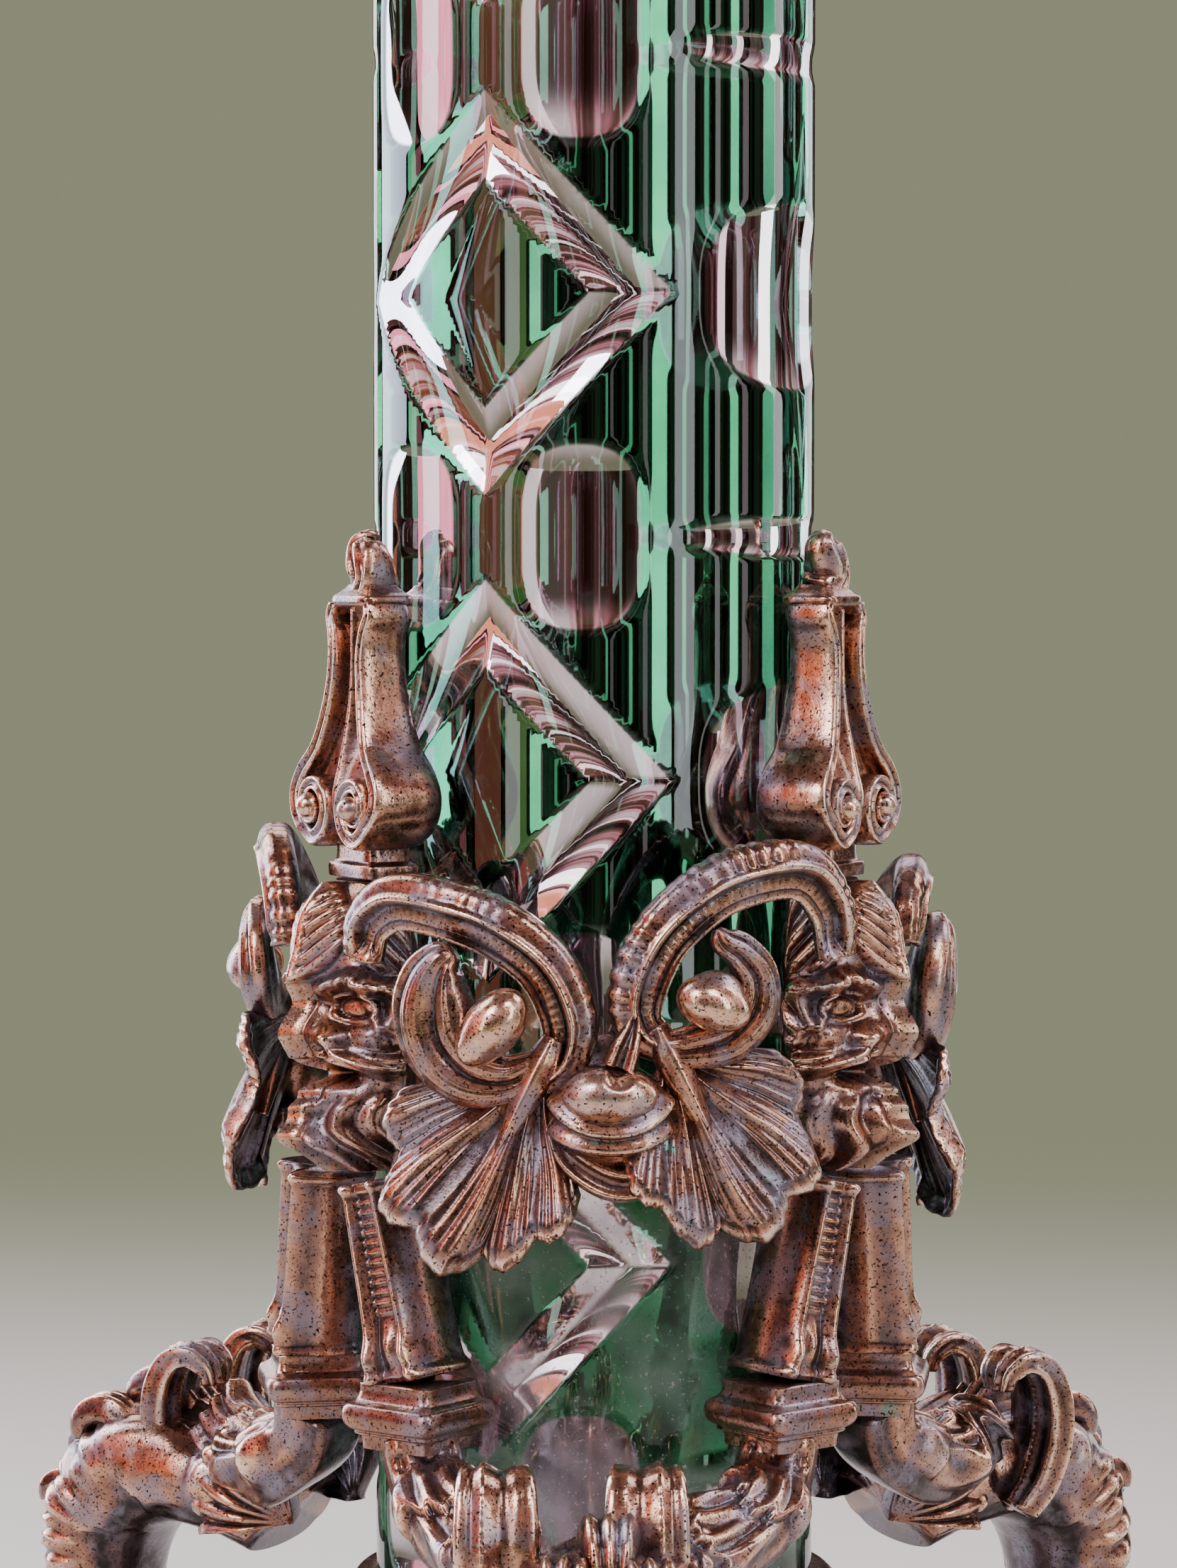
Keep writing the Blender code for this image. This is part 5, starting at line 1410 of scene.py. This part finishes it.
class CANDLESTICK_PG_bronze(bpy.types.PropertyGroup):
    """Colours of the chased bronze, from its deepest recess to its rubbed edges."""

    recess: colour_setting("Recess", "#1E1816", "Grime and painted shade in the deepest cuts")
    shade: colour_setting("Shade", "#5C4E4D", "Patina and painted shade beside the cuts")
    brown: colour_setting("Brown", "#9A735F", "Lacquered flats")
    copper: colour_setting("Copper", "#D6A98B", "Swellings where the lacquer is thin")
    bright: colour_setting("Bright", "#FCDDC3", "Rubbed edges and ridges")
    tarnish: colour_setting("Tarnish", "#8B8693", "Grey-violet tarnish in clouds")
    verdigris: colour_setting("Verdigris", "#5A9686", "Green crust in a few of the recesses")


class CANDLESTICK_PG_stage(bpy.types.PropertyGroup):
    """Where the camera stands and the colours of the room."""

    distance: bpy.props.FloatProperty(name="Camera distance",
                                      description="From the column's axis to the camera",
                                      default=0.85, min=0.1, unit="LENGTH")
    eye_height: bpy.props.FloatProperty(name="Camera height", description="Height of the camera",
                                        default=0.272, min=0.0, unit="LENGTH")
    turn: bpy.props.FloatProperty(name="Camera turn", description="Turn of the camera round the column",
                                  default=math.radians(-1.5), subtype="ANGLE")
    dip: bpy.props.FloatProperty(name="Camera dip", description="How far the camera looks down",
                                 default=math.radians(3.17), subtype="ANGLE")
    lens: bpy.props.FloatProperty(name="Lens", description="Focal length", default=107.1, unit="CAMERA")
    wall: colour_setting("Wall", "#8C8F76", "Grey-green of the room behind")
    floor: colour_setting("Floor", "#DAD6CC", "Pale floor near the candlestick")


def colours_of(group):
    """The colours among a group of settings, by name: only a colour holds more than one number."""
    return {name: tuple(getattr(group, name)) for name, setting in group.bl_rna.properties.items()
            if getattr(setting, "is_array", False)}


class PieceOperator(bpy.types.Operator):
    """Common ground of the operators that cast bronze pieces."""

    bl_options = {"REGISTER"}

    def material(self, context, name, seed):
        return bronze_material(name, colours_of(context.scene.candlestick_bronze), seed)


class CANDLESTICK_OT_column(bpy.types.Operator):
    """Makes the cut and silvered glass column"""

    bl_idname = "candlestick.column"
    bl_label = "Glass column"

    def execute(self, context):
        sizes = context.scene.candlestick_glass
        colours = colours_of(sizes)
        mesh = glass_column(sizes)
        put_piece(mesh, [cased_glass_material(colours), silvering_material(colours)],
                  ["glass_shaft"])
        silver = silvering_material(colours)
        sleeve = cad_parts["silvered_sleeve"]
        sleeve.data.materials.clear()
        sleeve.data.materials.append(silver)
        return {"FINISHED"}


class CANDLESTICK_OT_stage(bpy.types.Operator):
    """Lays the floor and sets the room's light and the camera"""

    bl_idname = "candlestick.stage"
    bl_label = "Floor, light and camera"

    def execute(self, context):
        lay_floor(context.scene.candlestick_stage)
        light_room(context.scene)
        stand_camera(context.scene)
        return {"FINISHED"}


def corner_angle(corner, on_mask=False):
    return (corner - 1) * CORNER_STEP + (MASK_TURN if on_mask else 0.0)


class CANDLESTICK_OT_masks(PieceOperator):
    """Casts the three horned masks"""

    bl_idname = "candlestick.masks"
    bl_label = "Masks"

    def execute(self, context):
        material = self.material(context, "cast bronze, chased, face", 1.0)
        for corner in range(1, CORNERS + 1):
            cast(f"chased_mask_{corner}", [mask_shape()], corner_angle(corner, True), material,
                 [f"mask_{corner}"])
        return {"FINISHED"}


class CANDLESTICK_OT_finials(PieceOperator):
    """Casts the three lyre finials"""

    bl_idname = "candlestick.finials"
    bl_label = "Finials"

    def execute(self, context):
        material = self.material(context, "cast bronze, chased, finial", 2.0)
        for corner in range(1, CORNERS + 1):
            cast(f"lyre_finial_{corner}", finial_shapes(), corner_angle(corner, True), material,
                 [f"finial_{corner}"])
        return {"FINISHED"}


class CANDLESTICK_OT_pilasters(PieceOperator):
    """Casts the six ladder-fronted struts under the masks"""

    bl_idname = "candlestick.pilasters"
    bl_label = "Pilasters"

    def execute(self, context):
        material = self.material(context, "cast bronze, chased, strut", 3.0)
        for corner in range(1, CORNERS + 1):
            for hand, letter in ((-1, "a"), (1, "b")):
                cast(f"ladder_pilaster_{corner}{letter}", pilaster_shapes(hand), corner_angle(corner, True),
                     material, [f"pilaster_{corner}{letter}"])
        return {"FINISHED"}


class CANDLESTICK_OT_horns(PieceOperator):
    """Casts the six ridged horns"""

    bl_idname = "candlestick.horns"
    bl_label = "Horns"

    def execute(self, context):
        material = self.material(context, "cast bronze, chased, horn", 4.0)
        for corner in range(1, CORNERS + 1):
            for hand, letter in ((-1, "a"), (1, "b")):
                cast(f"ridged_horn_{corner}{letter}", horn_shapes(hand), corner_angle(corner), material,
                     [f"horn_{corner}{letter}"])
        return {"FINISHED"}


class CANDLESTICK_OT_leaves(PieceOperator):
    """Casts the scalloped leaves, the curls with their berries and the buds between them"""

    bl_idname = "candlestick.leaves"
    bl_label = "Leaves, berries and buds"

    def execute(self, context):
        material = self.material(context, "cast bronze, chased, leaf", 5.0)
        for corner in range(1, CORNERS + 1):
            turn = corner_angle(corner)
            for hand, letter in ((-1, "a"), (1, "b")):
                cast(f"fluted_leaf_{corner}{letter}", leaf_shapes(hand), turn, material,
                     [f"scallop_leaf_{corner}{letter}"])
                cast(f"berry_in_curl_{corner}{letter}", curl_shapes(hand), turn, material,
                     [f"berry_curl_{corner}{letter}"])
            cast(f"berry_bud_{corner}", bud_shapes(), turn, material, [f"bud_{corner}"])
        return {"FINISHED"}


class CANDLESTICK_OT_haunches(PieceOperator):
    """Casts the six capitals and the acanthus haunches that carry them"""

    bl_idname = "candlestick.haunches"
    bl_label = "Capitals and haunches"

    def execute(self, context):
        material = self.material(context, "cast bronze, chased, haunch", 6.0)
        for corner in range(1, CORNERS + 1):
            for hand, letter in ((-1, "a"), (1, "b")):
                cast(f"acanthus_haunch_{corner}{letter}", haunch_shapes(hand), corner_angle(corner),
                     material, [f"haunch_{corner}{letter}"])
        return {"FINISHED"}


class CANDLESTICK_OT_legs(PieceOperator):
    """Casts the three scroll legs and their bun feet"""

    bl_idname = "candlestick.legs"
    bl_label = "Legs and feet"

    def execute(self, context):
        material = self.material(context, "cast bronze, chased, leg", 7.0)
        for corner in range(1, CORNERS + 1):
            turn = corner_angle(corner)
            cast(f"scroll_leg_{corner}", leg_shapes(), turn, material, [f"leg_{corner}"])
            cast(f"bun_foot_{corner}", [foot_shape()], turn, material, [f"foot_{corner}"], sharp=50)
        return {"FINISHED"}


class CANDLESTICK_OT_turned(PieceOperator):
    """Turns the cup, the collar, the pan's seat, the drip pan and the candle nozzle"""

    bl_idname = "candlestick.turned"
    bl_label = "Cup, collar, pan and nozzle"

    def execute(self, context):
        material = self.material(context, "cast bronze, turned and chased", 8.0)
        for name, shape, source, body in (
            ("gadrooned_cup", cup_shape, "base_cup", STAND),
            ("petalled_collar", collar_shape, "top_collar", STAND),
            ("waisted_seat", seat_shape, "pan_seat", STAND),
            ("petalled_pan", pan_shape, "drip_pan", "pan"),
            ("lipped_nozzle", nozzle_shape, "nozzle", "socket"),
        ):
            cast(name, [shape()], 0.0, material, [source], body, sharp=50)
        return {"FINISHED"}


OPERATORS = (
    CANDLESTICK_OT_column,
    CANDLESTICK_OT_masks,
    CANDLESTICK_OT_finials,
    CANDLESTICK_OT_pilasters,
    CANDLESTICK_OT_horns,
    CANDLESTICK_OT_leaves,
    CANDLESTICK_OT_haunches,
    CANDLESTICK_OT_legs,
    CANDLESTICK_OT_turned,
    CANDLESTICK_OT_ironwork,
    CANDLESTICK_OT_stage,
)


class CANDLESTICK_PT_panel(bpy.types.Panel):
    """Sizes, colours and one button for each group of pieces"""

    bl_idname = "CANDLESTICK_PT_panel"
    bl_label = "Glass candlestick"
    bl_space_type = "VIEW_3D"
    bl_region_type = "UI"
    bl_category = "Candlestick"

    def draw(self, context):
        layout = self.layout
        for name in SETTINGS:
            box = layout.box()
            group = getattr(context.scene, name)
            for key in group.bl_rna.properties.keys():
                if key not in ("rna_type", "name"):
                    box.prop(group, key)
        for operator in OPERATORS:
            layout.operator(operator.bl_idname)


SETTINGS = {
    "candlestick_glass": CANDLESTICK_PG_glass,
    "candlestick_bronze": CANDLESTICK_PG_bronze,
    "candlestick_stage": CANDLESTICK_PG_stage,
}


def register():
    for group in SETTINGS.values():
        bpy.utils.register_class(group)
    for operator in OPERATORS:
        bpy.utils.register_class(operator)
    bpy.utils.register_class(CANDLESTICK_PT_panel)
    for name, group in SETTINGS.items():
        setattr(bpy.types.Scene, name, bpy.props.PointerProperty(type=group))


def unregister():
    for name in SETTINGS:
        delattr(bpy.types.Scene, name)
    bpy.utils.unregister_class(CANDLESTICK_PT_panel)
    for operator in reversed(OPERATORS):
        bpy.utils.unregister_class(operator)
    for group in SETTINGS.values():
        bpy.utils.unregister_class(group)


def main():
    register()
    for operator in OPERATORS:
        group, action = operator.bl_idname.split(".")
        getattr(getattr(bpy.ops, group), action)()
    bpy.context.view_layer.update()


if __name__ == "__main__":
    main()
